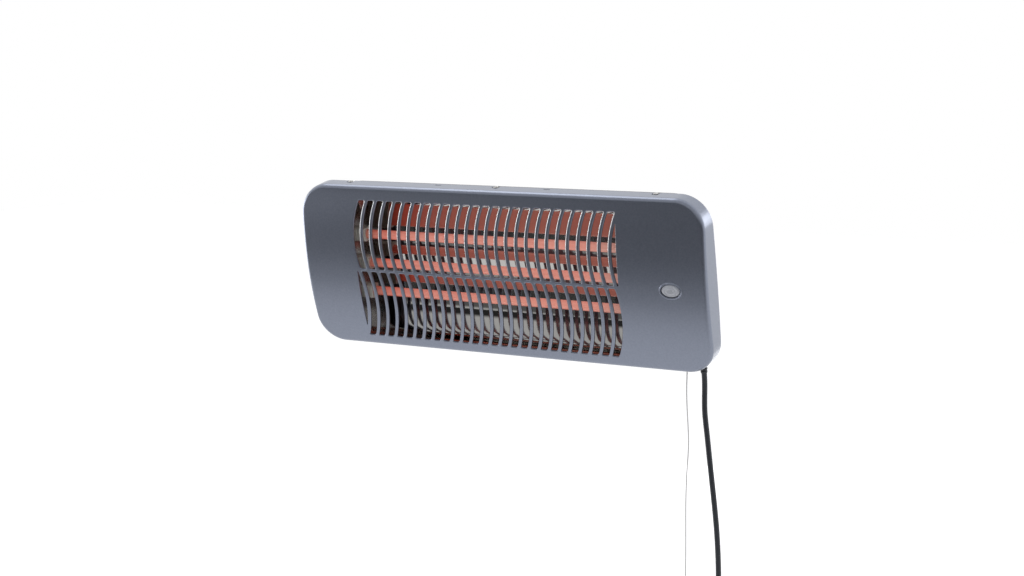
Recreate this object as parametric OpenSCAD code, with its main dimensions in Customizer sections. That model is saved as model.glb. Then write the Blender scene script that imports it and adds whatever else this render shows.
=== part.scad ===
// Wall-mounted infrared bar heater: three quartz tubes behind an S-barred grille, on a tilting bracket.
// Millimetres, +Z up, front towards -Y, the origin on the wall at the middle of the wall bracket.
// The heater's own pieces are drawn in the heater's axes (x to the right, y back from the middle of
// the face, z up) and in_heater() hangs them on the bracket at the rest tilt.

/* [Front cover] */
// Width of the cover over its side walls
cover_w = 583; // [520:1:660]
// Height of the cover over its top and bottom walls
cover_h = 223; // [205:1:245]
// Depth of the cover from the middle of the face to the rear rim
cover_depth = 34; // [30:1:40]
// Thickness of the cover's sheet
cover_sheet = 1; // [0.8:0.1:1.5]
// Radius of the face's gentle curve from top to bottom
face_radius = 555; // [480:5:800]
// Radius of the bend between the face and the walls
bend_r = 6; // [4:0.5:10]
// Radius of the two upper corners
corner_top_r = 39; // [25:1:50]
// Radius of the two lower corners
corner_bottom_r = 37; // [25:1:50]
// How far the side walls swell at half height
side_bulge = 1.6; // [0.5:0.1:4]

/* [Grille] */
// Distance from bar to bar
bar_pitch = 14.5; // [13:0.1:14.8]
// Width of a bar
bar_w = 5; // [3:0.1:7]
// Radius of a bar's curve
bar_curve_r = 140; // [120:1:200]
// Height from the rib to the point where a bar runs upright
bar_crest = 38; // [30:1:46]
// How far the ends of the slots stay inside the top and bottom of the cover
slot_inset = 17; // [14:0.5:24]
// Height of the rib between the two rows of slots
rib_h = 4; // [3:0.5:8]
// Middle of the grille, left of the middle of the tubes
grille_shift = -2.5; // [-6:0.5:0]
// Middle of the rib
grille_z = -2; // [-5:0.5:5]
// How far the ends of the grille stay inside the plates that carry the tubes
grille_inset = 22; // [20:1:30]

/* [Tubes] */
// Outer diameter of a quartz tube
tube_d = 12; // [10:0.5:14]
// Wall of a quartz tube
tube_wall = 1; // [0.8:0.1:1.5]
// Space at the left, from the cover's side to the plate that carries the tubes
left_space = 61.5; // [58:0.5:70]
// Space at the right for the switch, from the cover's side to the plate that carries the tubes
right_space = 91.5; // [90:0.5:100]
// Distance from tube to tube
tube_pitch = 40; // [36:0.5:44]
// Depth of the tubes behind the middle of the face
tube_y = 28; // [24:0.5:32]
// Diameter of the wound heating element in a tube
element_d = 7; // [5:0.5:8]
// How far the glowing length of an element ends inside its tube
element_inset = 21; // [16:1:40]
// Width of a ceramic cap from top to bottom
cap_h = 18; // [16:0.5:22]
// Depth of a ceramic cap
cap_depth = 16; // [14.5:0.5:20]
// Length of a ceramic cap
cap_length = 33; // [28:1:38]
// Length of tube that a cap holds
cap_grip = 14; // [10:1:18]
// Diameter of a terminal pin
pin_d = 3; // [2:0.1:4]
// Length of a terminal pin outside its cap
pin_out = 10; // [8:1:14]

/* [Reflector] */
// Thickness of the reflector sheet
reflector_sheet = 0.6; // [0.4:0.1:1]
// Space between the reflector's flat middle and the outside of the pan's back
reflector_space = 23; // [17:0.5:26]
// Half height of the flat middle
reflector_flat = 50; // [42:0.5:54]
// Radius of the curved upper and lower parts
reflector_r = 66; // [60:1:80]
// How far the reflector's lips stay inside the top and bottom of the pan
reflector_inset = 5; // [3:0.5:8]
// Depth at which the lips end behind the face
lip_y = 13; // [12:0.5:20]

/* [Rear pan] */
// How far the pan's ends stay inside the sides of the cover
pan_inset_w = 21.5; // [16:0.5:22]
// How far the pan stays inside the top and bottom of the cover
pan_inset_h = 9.5; // [8:0.5:11]
// Radius of the pan's two upper corners, seen from the back
pan_corner_r = 35; // [30:1:38]
// Depth of the pan's back behind the middle of the face
pan_back = 80; // [76:1:90]
// Thickness of the pan's sheet
pan_sheet = 1; // [0.8:0.1:1.5]
// Depth of the pan's sloping upper and lower edges
pan_slope_d = 12; // [8:0.5:12]
// Height that each sloping edge takes off the back
pan_slope_h = 22; // [16:1:26]
// Number of vent slots in a row
vents = 14; // [8:1:14]
// Length of a vent slot
vent_l = 22; // [14:1:24]
// Width of a vent slot
vent_w = 3; // [2:0.5:4]

/* [Bracket] */
// Width over the ears of the wall bracket
bracket_w = 200; // [160:2:260]
// Height of the wall plate
bracket_h = 64; // [58:1:80]
// Thickness of the bracket's sheet
bracket_sheet = 2; // [1.5:0.5:3]
// Distance from the wall to the tilt axis
wall_gap = 38; // [36:1:60]
// Distance from the tilt bracket's plate to the tilt axis
pivot_reach = 15; // [14.5:0.5:22]
// Radius of the wall bracket's ears round the tilt axis
ear_r = 14; // [12:0.5:14.5]
// Diameter of a pivot bolt
bolt_d = 6; // [5:1:8]
// Distance between the wall holes from side to side
wall_hole_x = 140; // [100:1:160]
// Distance between the wall holes from top to bottom
wall_hole_z = 36; // [30:1:44]
// Diameter of a wall hole
wall_hole_d = 5.5; // [4:0.5:7]
// Angle of the heater to the wall as it hangs, face down
rest_tilt = 12.3; // [0:0.1:20]
// Diameter of a clamping knob
knob_d = 28; // [22:1:34]
// Thickness of a clamping knob
knob_t = 13; // [10:1:18]

/* [Switch] */
// Distance from the cover's right side to the pull rod
pull_inset = 56.5; // [55:0.5:58]
// Distance from the pull rod to the outside of the pan's back
pull_depth = 25; // [25:0.5:27]
// Travel of the pull rod
pull_travel = 10; // [6:0.5:10]
// Diameter of the pull rod
rod_d = 2.5; // [2:0.1:3]
// Length of the switch lever from its pin to the rod
lever_arm = 21; // [20:0.5:22]

/* [Cords] */
// Diameter of the mains lead
lead_d = 7; // [7:0.1:7]
// Diameter of the pull cord
pull_d = 1.6; // [1.2:0.1:2]
// Distance from the cover's right side to the lead's gland
gland_inset = 36.5; // [36:0.5:37]
// Distance from the lead's gland to the outside of the pan's back
gland_depth = 22; // [22:0.5:25]
// Length of the tapered strain relief
relief_length = 26; // [26:1:26]
// Turns of the spare lead in each of the two layers
coil_turns = 3; // [2:1:3]
// Radius of the innermost turn of the coil
coil_r = 26; // [26:0.5:30]

/* [Hidden] */
$fn = 48;

// Clearances
slide_gap = 0.05;    // round a pin, bolt or rod that turns or slides in its bore
seat_gap = 0.3;      // between pieces that lie close without a fit
washer_gap = 0.05;   // on each side of a pivot washer
wind_gap = 0.5;      // between the turns of the coiled lead
over = 1;            // how far a cutter runs past the face it opens
bend_step = 0.05;    // how far the bends start outside the faces they round, so that each meets its
                     // face in a clear edge

// Colours
paint = [0.40, 0.43, 0.48];
dark = [0.10, 0.10, 0.11];
bright = [0.80, 0.80, 0.81];
ceramic = [0.78, 0.76, 0.70];

// Tilt
pivot_y = pan_back + bracket_sheet + pivot_reach;

// Hot part, between the plates that carry the tubes
plate_t = 1;
cap_out = 7;         // how far a cap stands out of its plate
hot_x = (left_space - right_space) / 2;
plate_in = (cover_w - left_space - right_space) / 2 - plate_t;
plate_x = hot_x + plate_in + plate_t;
cap_outer = plate_in + cap_out;
cap_inner = cap_outer - cap_length;
tubes_half = cap_inner + cap_grip;

// Switch part, right of the plates
pull_x = cover_w / 2 - pull_inset;
pull_y = pan_back - pull_depth;
gland_x = cover_w / 2 - gland_inset;
gland_y = pan_back - gland_depth;

function turn_x(p, a) = [p[0], p[1] * cos(a) - p[2] * sin(a), p[1] * sin(a) + p[2] * cos(a)];
function to_row(p) = turn_x([p[0], p[1] - pivot_y, p[2]], rest_tilt) + [0, -wall_gap, 0];

module in_heater() {
    translate([0, -wall_gap, 0]) rotate([rest_tilt, 0, 0]) translate([0, -pivot_y, 0]) children();
}

// Profiles drawn in y and z and run along x, and outlines drawn in x and z and run along y
module along_x(x0, x1) {
    translate([x0, 0, 0]) rotate([90, 0, 90]) linear_extrude(x1 - x0) children();
}
module along_y(y0, y1) {
    translate([0, y1, 0]) rotate([90, 0, 0]) linear_extrude(y1 - y0) children();
}
module box(x0, x1, y0, y1, z0, z1) {
    translate([x0, y0, z0]) cube([x1 - x0, y1 - y0, z1 - z0]);
}
module rod_x(x0, x1, y, z, r) {
    translate([x0, y, z]) rotate([0, 90, 0]) cylinder(r = r, h = x1 - x0);
}
module rod_y(y0, y1, x, z, r) {
    translate([x, y1, z]) rotate([90, 0, 0]) cylinder(r = r, h = y1 - y0);
}
module rod_z(z0, z1, x, y, r) {
    translate([x, y, z0]) cylinder(r = r, h = z1 - z0);
}

// ---- Front cover ----

bulge_r = pow(cover_h / 2, 2) / (2 * side_bulge) + side_bulge / 2;
function face_y(z) = face_radius - sqrt(face_radius * face_radius - z * z);

// Outline of the cover, drawn in by inset: the side walls are long arcs that meet the corners smoothly
module cover_outline(inset) {
    w = cover_w / 2 - inset;
    h = cover_h / 2 - inset;
    big = bulge_r - inset;
    for (top = [1, 0]) {
        r = (top == 1 ? corner_top_r : corner_bottom_r) - inset;
        corner_z = h - r;
        corner_x = w - big + sqrt(pow(big - r, 2) - corner_z * corner_z);
        meet_z = corner_z * big / (big - r);
        mirror([0, 1 - top, 0]) {
            intersection() {
                translate([-w, -over]) square([2 * w, meet_z + over]);
                translate([w - big, 0]) circle(r = big, $fn = 1440);
                translate([big - w, 0]) circle(r = big, $fn = 1440);
            }
            translate([-corner_x, 0]) square([2 * corner_x, h]);
            for (side = [-1, 1])
                translate([side * corner_x, corner_z]) circle(r = r, $fn = 96);
        }
    }
}

// Section of the cover from front to back, drawn in by inset
module cover_section(inset, back) {
    h = cover_h / 2 - inset;
    r = bend_r - inset;
    big = face_radius - inset + bend_step;
    bend_z = h - r;
    bend_y = face_radius - sqrt(pow(big - r, 2) - bend_z * bend_z);
    meet_z = bend_z * big / (big - r);
    intersection() {
        translate([face_radius, 0]) circle(r = big, $fn = 1440);
        translate([-over, -meet_z]) square([back + over, 2 * meet_z]);
    }
    translate([bend_y, -h]) square([back - bend_y, 2 * h]);
    for (side = [-1, 1])
        translate([bend_y, side * bend_z]) circle(r = r);
}

// Ring about the axis of the face's curve, whose rounded rims are the bends into the side walls
module face_ring(inset) {
    w = cover_w / 2 - inset + bend_step;
    r = bend_r - inset;
    big = face_radius - inset;
    deep = 2 * cover_depth;
    translate([0, face_radius, 0]) rotate([0, 90, 0]) rotate_extrude($fn = 720) {
        translate([big - deep, -w]) square([deep - r, 2 * w]);
        translate([big - deep, r - w]) square([deep, 2 * (w - r)]);
        for (side = [-1, 1])
            translate([big - r, side * (w - r)]) circle(r = r);
    }
}

module cover_body(inset, back) {
    intersection() {
        face_ring(inset);
        along_y(-over, back) cover_outline(inset);
        along_x(-cover_w / 2, cover_w / 2) cover_section(inset, back);
    }
}

// A bar is an arc above the rib and the same arc turned round below it, so each bar is an S
grille_x = hot_x + grille_shift;
grille_half_w = plate_in - grille_inset;
slot_h = (cover_h - rib_h) / 2 - slot_inset;
bars = floor(2 * grille_half_w / bar_pitch);
crest_sag = bar_curve_r - sqrt(bar_curve_r * bar_curve_r - bar_crest * bar_crest);
rib_slant = bar_crest / sqrt(bar_curve_r * bar_curve_r - bar_crest * bar_crest);
row_shift = (bar_pitch - 2 * crest_sag - rib_slant * rib_h) / 2;
function crest_x(k) = (k - (bars - 1) / 2) * bar_pitch + row_shift;

module slot_row() {
    arc_z = rib_h / 2 + bar_crest;
    for (k = [0:bars])
        intersection() {
            translate([-grille_half_w - bar_pitch, rib_h / 2])
                square([2 * grille_half_w + bar_pitch, slot_h]);
            difference() {
                translate([crest_x(k - 1) + bar_curve_r, arc_z])
                    circle(r = bar_curve_r - bar_w / 2, $fn = 360);
                translate([crest_x(k) + bar_curve_r, arc_z])
                    circle(r = bar_curve_r + bar_w / 2, $fn = 360);
            }
        }
}

module grille_slots() {
    deep = face_y(slot_h + rib_h) + cover_sheet + over;
    along_y(-over, deep) translate([grille_x, grille_z])
        for (half = [0, 180])
            rotate(half) slot_row();
}

// Oval pilot lens
lens_inset = 48;
lens_x = cover_w / 2 - lens_inset;
lens_z = -1.7;
lens_w = 24;
lens_h = 15.6;
bezel_rim = 2.4;
bezel_gap = 0.8;
bezel_stand = 1;
bezel_neck = 1;
function oval(w, h, n = 48) = [for (i = [0:n - 1]) [w / 2 * cos(360 * i / n), h / 2 * sin(360 * i / n)]];
module lens_oval(grow) {
    translate([lens_x, lens_z]) polygon(oval(lens_w + 2 * grow, lens_h + 2 * grow));
}

// Screws and clips of the rear rim
screw_inset = 70.5;
screw_pitch = cover_w / 2 - screw_inset;
screw_y = cover_depth - 4.5;
screw_r = 1.7;
head_r = 3.4;
head_h = 2;
notch_w = 9;
clip_x = [-85, 73];
clip_w = 9;
clip_h = 1.6;

module front_cover() {
    color(paint) in_heater() difference() {
        cover_body(0, cover_depth);
        cover_body(cover_sheet, cover_depth + over);
        grille_slots();
        along_y(-over, 2 * over) lens_oval(bezel_gap + bezel_neck);
        for (x = [-screw_pitch, 0, screw_pitch])
            box(x - notch_w / 2, x + notch_w / 2, screw_y - head_r - seat_gap, cover_depth + over,
                -cover_h, cover_h);
        for (x = clip_x)
            box(x - clip_w / 2, x + clip_w / 2, screw_y - clip_h, screw_y, -cover_h, cover_h);
    }
}

module pilot_bezel() {
    color(paint) in_heater() difference() {
        union() {
            along_y(-bezel_stand, 0) lens_oval(bezel_gap + bezel_rim);
            along_y(-bezel_stand, cover_sheet + 3) lens_oval(bezel_gap + bezel_neck - slide_gap);
        }
        along_y(-bezel_stand - over, cover_sheet + 4) lens_oval(bezel_gap);
    }
}

lens_back = 5;
module pilot_lens() {
    color([0.85, 0.87, 0.9, 0.6]) in_heater() {
        along_y(-0.6, lens_back) lens_oval(0);
        along_y(cover_sheet + 3, lens_back) lens_oval(bezel_gap + bezel_neck);
    }
}

lamp_r = 4;
lamp_back = 26;
module pilot_lamp() {
    color([0.9, 0.88, 0.82]) in_heater() {
        rod_y(lens_back, lamp_back - 6, lens_x, lens_z, lamp_r);
        rod_y(lamp_back - 6, lamp_back, lens_x, lens_z, lamp_r + 1);
    }
}

// ---- Rear pan ----

pan_w = cover_w - 2 * pan_inset_w;
pan_half_h = cover_h / 2 - pan_inset_h;
pan_slope_y = pan_back - pan_slope_d;
slope_d = [pan_slope_d, -pan_slope_h];
slope_n = [pan_slope_h, slope_d[0]] / norm(slope_d);
module pan_section(inset, front) {
    h = pan_half_h - inset;
    slope_y = pan_slope_y - inset * (1 - slope_n[1]) / slope_n[0];
    slope_z = pan_half_h - pan_slope_h - inset * (1 - slope_n[0]) / slope_n[1];
    back = pan_back - inset;
    polygon([[front, -h], [slope_y, -h], [back, -slope_z], [back, slope_z], [slope_y, h], [front, h]]);
}

// Outline of the pan seen from the back, drawn in by inset
module pan_outline(inset) {
    w = pan_w / 2 - inset;
    h = pan_half_h - inset;
    r = pan_corner_r - inset;
    translate([-w, -h]) square([2 * w, 2 * h - r]);
    translate([r - w, -h]) square([2 * (w - r), 2 * h]);
    for (side = [-1, 1])
        translate([side * (w - r), h - r]) circle(r = r, $fn = 96);
}

flange_y = cover_depth - pan_sheet;
flange_half_h = cover_h / 2 - cover_sheet - seat_gap;
flange_half_w = cover_w / 2 - cover_sheet - side_bulge - seat_gap;
lug_w = 14;
lug_y = screw_y - 6;
module rim_flange() {
    along_y(flange_y, cover_depth) difference() {
        intersection() {
            cover_outline(cover_sheet + seat_gap);
            square([2 * flange_half_w, 2 * flange_half_h], center = true);
        }
        pan_outline(pan_sheet);
    }
    for (x = [-screw_pitch, 0, screw_pitch], side = [-1, 1])
        mirror([0, 0, (1 - side) / 2])
            box(x - lug_w / 2, x + lug_w / 2, lug_y, cover_depth, flange_half_h - pan_sheet,
                flange_half_h);
}

vent_pitch = 2 * plate_in / (vents - 1);
vent_rows = [12, 21];
module vent_row(z0, z1, y) {
    for (k = [0:vents - 1]) {
        x = hot_x + (k - (vents - 1) / 2) * vent_pitch;
        box(x - (vent_l - vent_w) / 2, x + (vent_l - vent_w) / 2, y - vent_w / 2, y + vent_w / 2, z0, z1);
        for (side = [-1, 1])
            rod_z(z0, z1, x + side * (vent_l - vent_w) / 2, y, vent_w / 2);
    }
}
back_vent_z = 58;
module back_vents() {
    for (k = [0:vents - 1], side = [-1, 1]) {
        x = hot_x + (k - (vents - 1) / 2) * vent_pitch;
        if (abs(x) > bracket_w / 2 + vent_l)
            for (dz = [-4, 4]) {
                z = side * back_vent_z + dz;
                box(x - vent_l / 2, x + vent_l / 2, pan_back - 2 * over, pan_back + over,
                    z - vent_w / 2, z + vent_w / 2);
            }
    }
}

bush_r = 8;
guide_r = 4;
module rear_pan() {
    color(dark) in_heater() difference() {
        union() {
            intersection() {
                along_x(-pan_w / 2, pan_w / 2) pan_section(0, flange_y);
                along_y(flange_y, pan_back) pan_outline(0);
            }
            rim_flange();
        }
        intersection() {
            along_x(pan_sheet - pan_w / 2, pan_w / 2 - pan_sheet) pan_section(pan_sheet, flange_y - over);
            along_y(flange_y - over, pan_back) pan_outline(pan_sheet);
        }
        for (row = vent_rows, side = [-1, 1])
            mirror([0, 0, (1 - side) / 2])
                vent_row(pan_half_h - 2 * over, pan_half_h + over, cover_depth + row);
        back_vents();
        rod_z(-pan_half_h - over, -pan_half_h + 2 * over, gland_x, gland_y, bush_r);
        rod_z(-pan_half_h - over, -pan_half_h + 2 * over, pull_x, pull_y, guide_r);
        for (x = [-screw_pitch, 0, screw_pitch], side = [-1, 1])
            mirror([0, 0, (1 - side) / 2])
                rod_z(flange_half_h - 2 * over, flange_half_h + over, x, screw_y, screw_r + slide_gap);
        for (x = [-1, 1] * plate_screw_x, z = [-1, 1] * plate_screw_z)
            rod_y(pan_back - 2 * over, pan_back + over, x, z, plate_screw_r + slide_gap);
        rod_y(pan_back - 2 * over, pan_back + over, earth_x, earth_z, earth_r + slide_gap);
    }
}

module cover_screws() {
    color(bright) in_heater()
        for (x = [-screw_pitch, 0, screw_pitch], side = [-1, 1])
            mirror([0, 0, (1 - side) / 2]) difference() {
                union() {
                    rod_z(flange_half_h, flange_half_h + head_h, x, screw_y, head_r);
                    rod_z(flange_half_h - 6, flange_half_h, x, screw_y, screw_r);
                }
                box(x - head_r, x + head_r, screw_y - 0.4, screw_y + 0.4, flange_half_h + head_h / 2,
                    flange_half_h + head_h + over);
            }
}

// ---- Hot side: reflector, end plates, tubes ----

reflector_y = pan_back - reflector_space;
reflector_half_h = pan_half_h - reflector_inset;
reflector_mid_y = reflector_y - reflector_r;
module reflector_section(grow, front) {
    back = reflector_y + grow;
    r = reflector_r + grow;
    half = reflector_half_h + grow;
    intersection() {
        translate([front, -half]) square([back - front, 2 * half]);
        union() {
            translate([front, -reflector_flat]) square([back - front, 2 * reflector_flat]);
            for (side = [-1, 1])
                translate([reflector_mid_y, side * reflector_flat]) circle(r = r, $fn = 180);
        }
    }
}

module reflector() {
    color([0.88, 0.88, 0.88]) in_heater()
        along_x(hot_x - plate_in, hot_x + plate_in) difference() {
            reflector_section(reflector_sheet, lip_y);
            reflector_section(0, lip_y - over);
        }
}

function tube_z(k) = (1 - k) * tube_pitch;
module tube_places() {
    for (k = [0:2])
        translate([0, tube_y, tube_z(k)]) children();
}

module end_plate(side) {
    x = hot_x + side * (plate_in + plate_t / 2);
    color(bright) in_heater() difference() {
        along_x(x - plate_t / 2, x + plate_t / 2) intersection() {
            pan_section(pan_sheet, lip_y);
            translate([lip_y, -reflector_half_h - reflector_sheet])
                square([pan_back, 2 * (reflector_half_h + reflector_sheet)]);
        }
        tube_places()
            box(x - over, x + over, -cap_depth / 2 - seat_gap, cap_depth / 2 + seat_gap,
                -cap_h / 2 - seat_gap, cap_h / 2 + seat_gap);
        rod_x(x - over, x + over, back_wire_y, 0, 2 * wire_r);
    }
}
module end_plate_left() { end_plate(-1); }
module end_plate_right() { end_plate(1); }

module quartz_tube(k) {
    color([0.95, 0.62, 0.5, 0.7]) in_heater() translate([hot_x, tube_y, tube_z(k)]) difference() {
        rod_x(-tubes_half, tubes_half, 0, 0, tube_d / 2);
        rod_x(-tubes_half - over, tubes_half + over, 0, 0, tube_d / 2 - tube_wall);
    }
}
module quartz_tube_top() { quartz_tube(0); }
module quartz_tube_middle() { quartz_tube(1); }
module quartz_tube_bottom() { quartz_tube(2); }

tail_r = 1;
pin_in = tubes_half + 2;
module element(k) {
    color([0.95, 0.4, 0.2]) in_heater() translate([hot_x, tube_y, tube_z(k)]) {
        rod_x(element_inset - tubes_half, tubes_half - element_inset, 0, 0, element_d / 2);
        rod_x(-pin_in, pin_in, 0, 0, tail_r);
    }
}
module element_top() { element(0); }
module element_middle() { element(1); }
module element_bottom() { element(2); }

module caps(side) {
    color(ceramic) in_heater() translate([hot_x, 0, 0]) tube_places() mirror([(1 - side) / 2, 0, 0])
        difference() {
            box(cap_inner, cap_outer, -cap_depth / 2, cap_depth / 2, -cap_h / 2, cap_h / 2);
            rod_x(cap_inner - over, tubes_half, 0, 0, tube_d / 2 + slide_gap);
            rod_x(cap_inner, cap_outer + over, 0, 0, pin_d / 2 + slide_gap);
        }
}
module caps_left() { caps(-1); }
module caps_right() { caps(1); }

pin_end = cap_outer + pin_out;
module terminal_pins() {
    color(bright) in_heater() translate([hot_x, 0, 0]) tube_places()
        for (side = [0, 1])
            mirror([side, 0, 0]) rod_x(pin_in, pin_end, 0, 0, pin_d / 2);
}

// ---- Switch side ----

switch_l = pull_x - lever_arm - 7;
switch_r = gland_x - bush_r - 2;
switch_front = pull_y - 13;
switch_back = pull_y + 12;
switch_floor = -pan_half_h + pan_sheet;
switch_top = switch_floor + 36;
switch_wall = 2;
pin_z = switch_floor + 20;
lever_pin_r = 2;
module pull_switch() {
    x = pull_x - lever_arm;
    color([0.88, 0.87, 0.84]) in_heater() {
        difference() {
            box(switch_l, switch_r, switch_front, switch_back, switch_floor, switch_top);
            box(switch_l + switch_wall, switch_r - switch_wall, switch_front + switch_wall,
                switch_back + over, switch_floor + switch_wall, switch_top - switch_wall);
            rod_z(switch_floor - over, switch_floor + switch_wall + over, pull_x, pull_y,
                rod_d / 2 + slide_gap);
        }
        rod_y(switch_front + switch_wall, switch_back, x, pin_z, lever_pin_r);
    }
}

lever_t = 3;
lever_w = 7;
lever_boss_r = 4;
fork_gap = 0.5;
module switch_lever() {
    x = pull_x - lever_arm;
    color([0.2, 0.2, 0.22]) in_heater() difference() {
        union() {
            rod_y(pull_y - lever_w / 2, pull_y + lever_w / 2, x, pin_z, lever_boss_r);
            box(x, pull_x + 5, pull_y - lever_w / 2, pull_y + lever_w / 2, pin_z - lever_t / 2,
                pin_z + lever_t / 2);
        }
        rod_y(pull_y - lever_w, pull_y + lever_w, x, pin_z, lever_pin_r + slide_gap);
        box(pull_x - 5, pull_x + 6, pull_y - rod_d / 2 - fork_gap, pull_y + rod_d / 2 + fork_gap,
            pin_z - lever_t, pin_z + lever_t);
    }
}

// Torsion spring wound round the lever's pin
spring_wire_r = 0.5;
spring_turns = 5;
spring_pitch = 1.3;
spring_rings = 12;
module switch_spring() {
    r = lever_pin_r + seat_gap + spring_wire_r;
    y0 = pull_y + lever_w / 2 + seat_gap + spring_wire_r;
    color(bright) in_heater() translate([pull_x - lever_arm, y0, pin_z])
        swept([for (i = [0:spring_turns * spring_rings])
            [r * cos(360 * i / spring_rings), spring_pitch * i / spring_rings, r * sin(360 * i / spring_rings)]],
            spring_wire_r, 6);
}

// The rod hangs from its head on the lever's fork, and its bead carries the cord
rod_lift = 1;
rod_head_r = 3.2;
rod_head_h = 1.6;
bead_r = 2.4;
guide_flange = 1.5;
bead_z = -pan_half_h - guide_flange - bead_r - 4;
module pull_rod() {
    head_z = pin_z + lever_t / 2 + rod_lift;
    color(bright) in_heater() {
        rod_z(bead_z, head_z + rod_head_h, pull_x, pull_y, rod_d / 2);
        rod_z(head_z, head_z + rod_head_h, pull_x, pull_y, rod_head_r);
        translate([pull_x, pull_y, bead_z]) sphere(r = bead_r);
    }
}

module rod_guide() {
    color([0.88, 0.87, 0.84]) in_heater() difference() {
        union() {
            rod_z(-pan_half_h - guide_flange, -pan_half_h, pull_x, pull_y, guide_r + 2);
            rod_z(-pan_half_h, -pan_half_h + pan_sheet, pull_x, pull_y, guide_r - slide_gap);
        }
        rod_z(-pan_half_h - guide_flange - over, -pan_half_h + pan_sheet + over, pull_x, pull_y,
            rod_d / 2 + slide_gap);
    }
}

block_x = [gland_x - 41, gland_x - 5];
block_y = 16;
block_z = [34, 54];
block_screw_r = 1.8;
module terminal_block() {
    color([0.85, 0.85, 0.82]) in_heater() difference() {
        box(block_x[0], block_x[1], pan_back - pan_sheet - block_y, pan_back - pan_sheet, block_z[0],
            block_z[1]);
        block_holes(block_screw_r + slide_gap);
        for (x = block_poles)
            rod_z(block_z[0] - over, block_z[1] + over, x, pan_back - pan_sheet - 6, 2);
    }
}
block_poles = [for (k = [-1:1]) (block_x[0] + block_x[1]) / 2 + 11 * k];
module block_holes(r) {
    for (x = block_poles, z = [block_z[0] + 5, block_z[1] - 5])
        rod_y(pan_back - pan_sheet - block_y - over, pan_back - pan_sheet - 8, x, z, r);
}
module terminal_screws() {
    color("goldenrod") in_heater() intersection() {
        block_holes(block_screw_r);
        box(block_x[0], block_x[1], pan_back - pan_sheet - block_y + 2, pan_back, block_z[0], block_z[1]);
    }
}

cutout_y = pan_back - 28;
cutout_z = reflector_half_h - 29;
cutout_r = 9;
cutout_t = 8;
tab_l = 7;
tab_y = 4;
module thermal_cutout() {
    x = plate_x + cutout_t;
    color(dark) in_heater() {
        rod_x(plate_x, x, cutout_y, cutout_z, cutout_r);
        for (side = [-1, 1])
            box(x, x + tab_l, cutout_y + side * tab_y - 0.4, cutout_y + side * tab_y + 0.4, cutout_z - 3,
                cutout_z + 3);
    }
}

earth_x = gland_x - 30;
earth_z = 10;
earth_r = 2;
module earth_stud() {
    color("goldenrod") in_heater() {
        rod_y(pan_back - 14, pan_back + 1.5, earth_x, earth_z, earth_r);
        rod_y(pan_back + slide_gap, pan_back + 1.5, earth_x, earth_z, earth_r + 2);
        rod_y(pan_back - pan_sheet - 4, pan_back - pan_sheet - slide_gap, earth_x, earth_z, earth_r + 2);
    }
}

// ---- Wires and cords ----

// Tube swept along points: the ring at each point stands square to the run there, and ref is a
// direction that no stretch of the route follows
function unit(v) = v / norm(v);
function run_at(p, i) =
    i == 0 ? unit(p[1] - p[0]) :
    i == len(p) - 1 ? unit(p[i] - p[i - 1]) :
    unit(unit(p[i + 1] - p[i]) + unit(p[i] - p[i - 1]));
function ring(c, t, r, sides, ref) =
    let (a = unit(ref - (ref * t) * t), b = cross(t, a))
    [for (j = [0:sides - 1]) c + r * (cos(360 * j / sides) * a + sin(360 * j / sides) * b)];
module swept(p, r, sides = 8, ref = [0, 1, 0]) {
    n = len(p);
    points = [for (i = [0:n - 1]) each ring(p[i], run_at(p, i), r, sides, ref)];
    walls = [for (i = [0:n - 2], j = [0:sides - 1])
        let (a = i * sides + j, b = i * sides + (j + 1) % sides)
        each [[a, a + sides, b], [b, a + sides, b + sides]]];
    start = [for (j = [1:sides - 2]) [0, j, j + 1]];
    finish = [for (j = [1:sides - 2]) [(n - 1) * sides, (n - 1) * sides + j + 1, (n - 1) * sides + j]];
    polyhedron(points, concat(walls, start, finish));
}
function route_length(p) = len(p) < 2 ? 0 : [for (i = [1:len(p) - 1]) norm(p[i] - p[i - 1])]
    * [for (i = [1:len(p) - 1]) 1];

wire_r = 1.2;
back_wire_y = pan_back - 8;
end_run = 4;         // straight end of a wire
left_x = hot_x - pin_end - wire_r;
module wire(p, ref) {
    swept(p, wire_r, 8, ref);
}
module wiring_left() {
    block_end = [block_poles[0] - 2, pan_back - 9, block_z[0]];
    color("whitesmoke") in_heater() {
        wire([[left_x, tube_y, tube_pitch + 3], [left_x, tube_y, 4], [left_x, tube_y, -4],
            [left_x, tube_y, -tube_pitch - 3]], [0, 1, 0]);
        wire([[left_x, tube_y + wire_r, 20], [left_x, tube_y + 6, 20], [left_x, back_wire_y - 18, 18],
            [left_x + 1, back_wire_y - 8, 12], [left_x + 4, back_wire_y - 2, 4],
            [left_x + 10, back_wire_y, 0], [left_x + 24, back_wire_y, 0], [hot_x, back_wire_y, 0],
            [plate_x + 4, back_wire_y, 0], [plate_x + 12, back_wire_y, 8],
            block_end - [1, 0, 14], block_end - [0, 0, end_run], block_end], [0.2, 0.3, 1]);
    }
}

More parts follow.
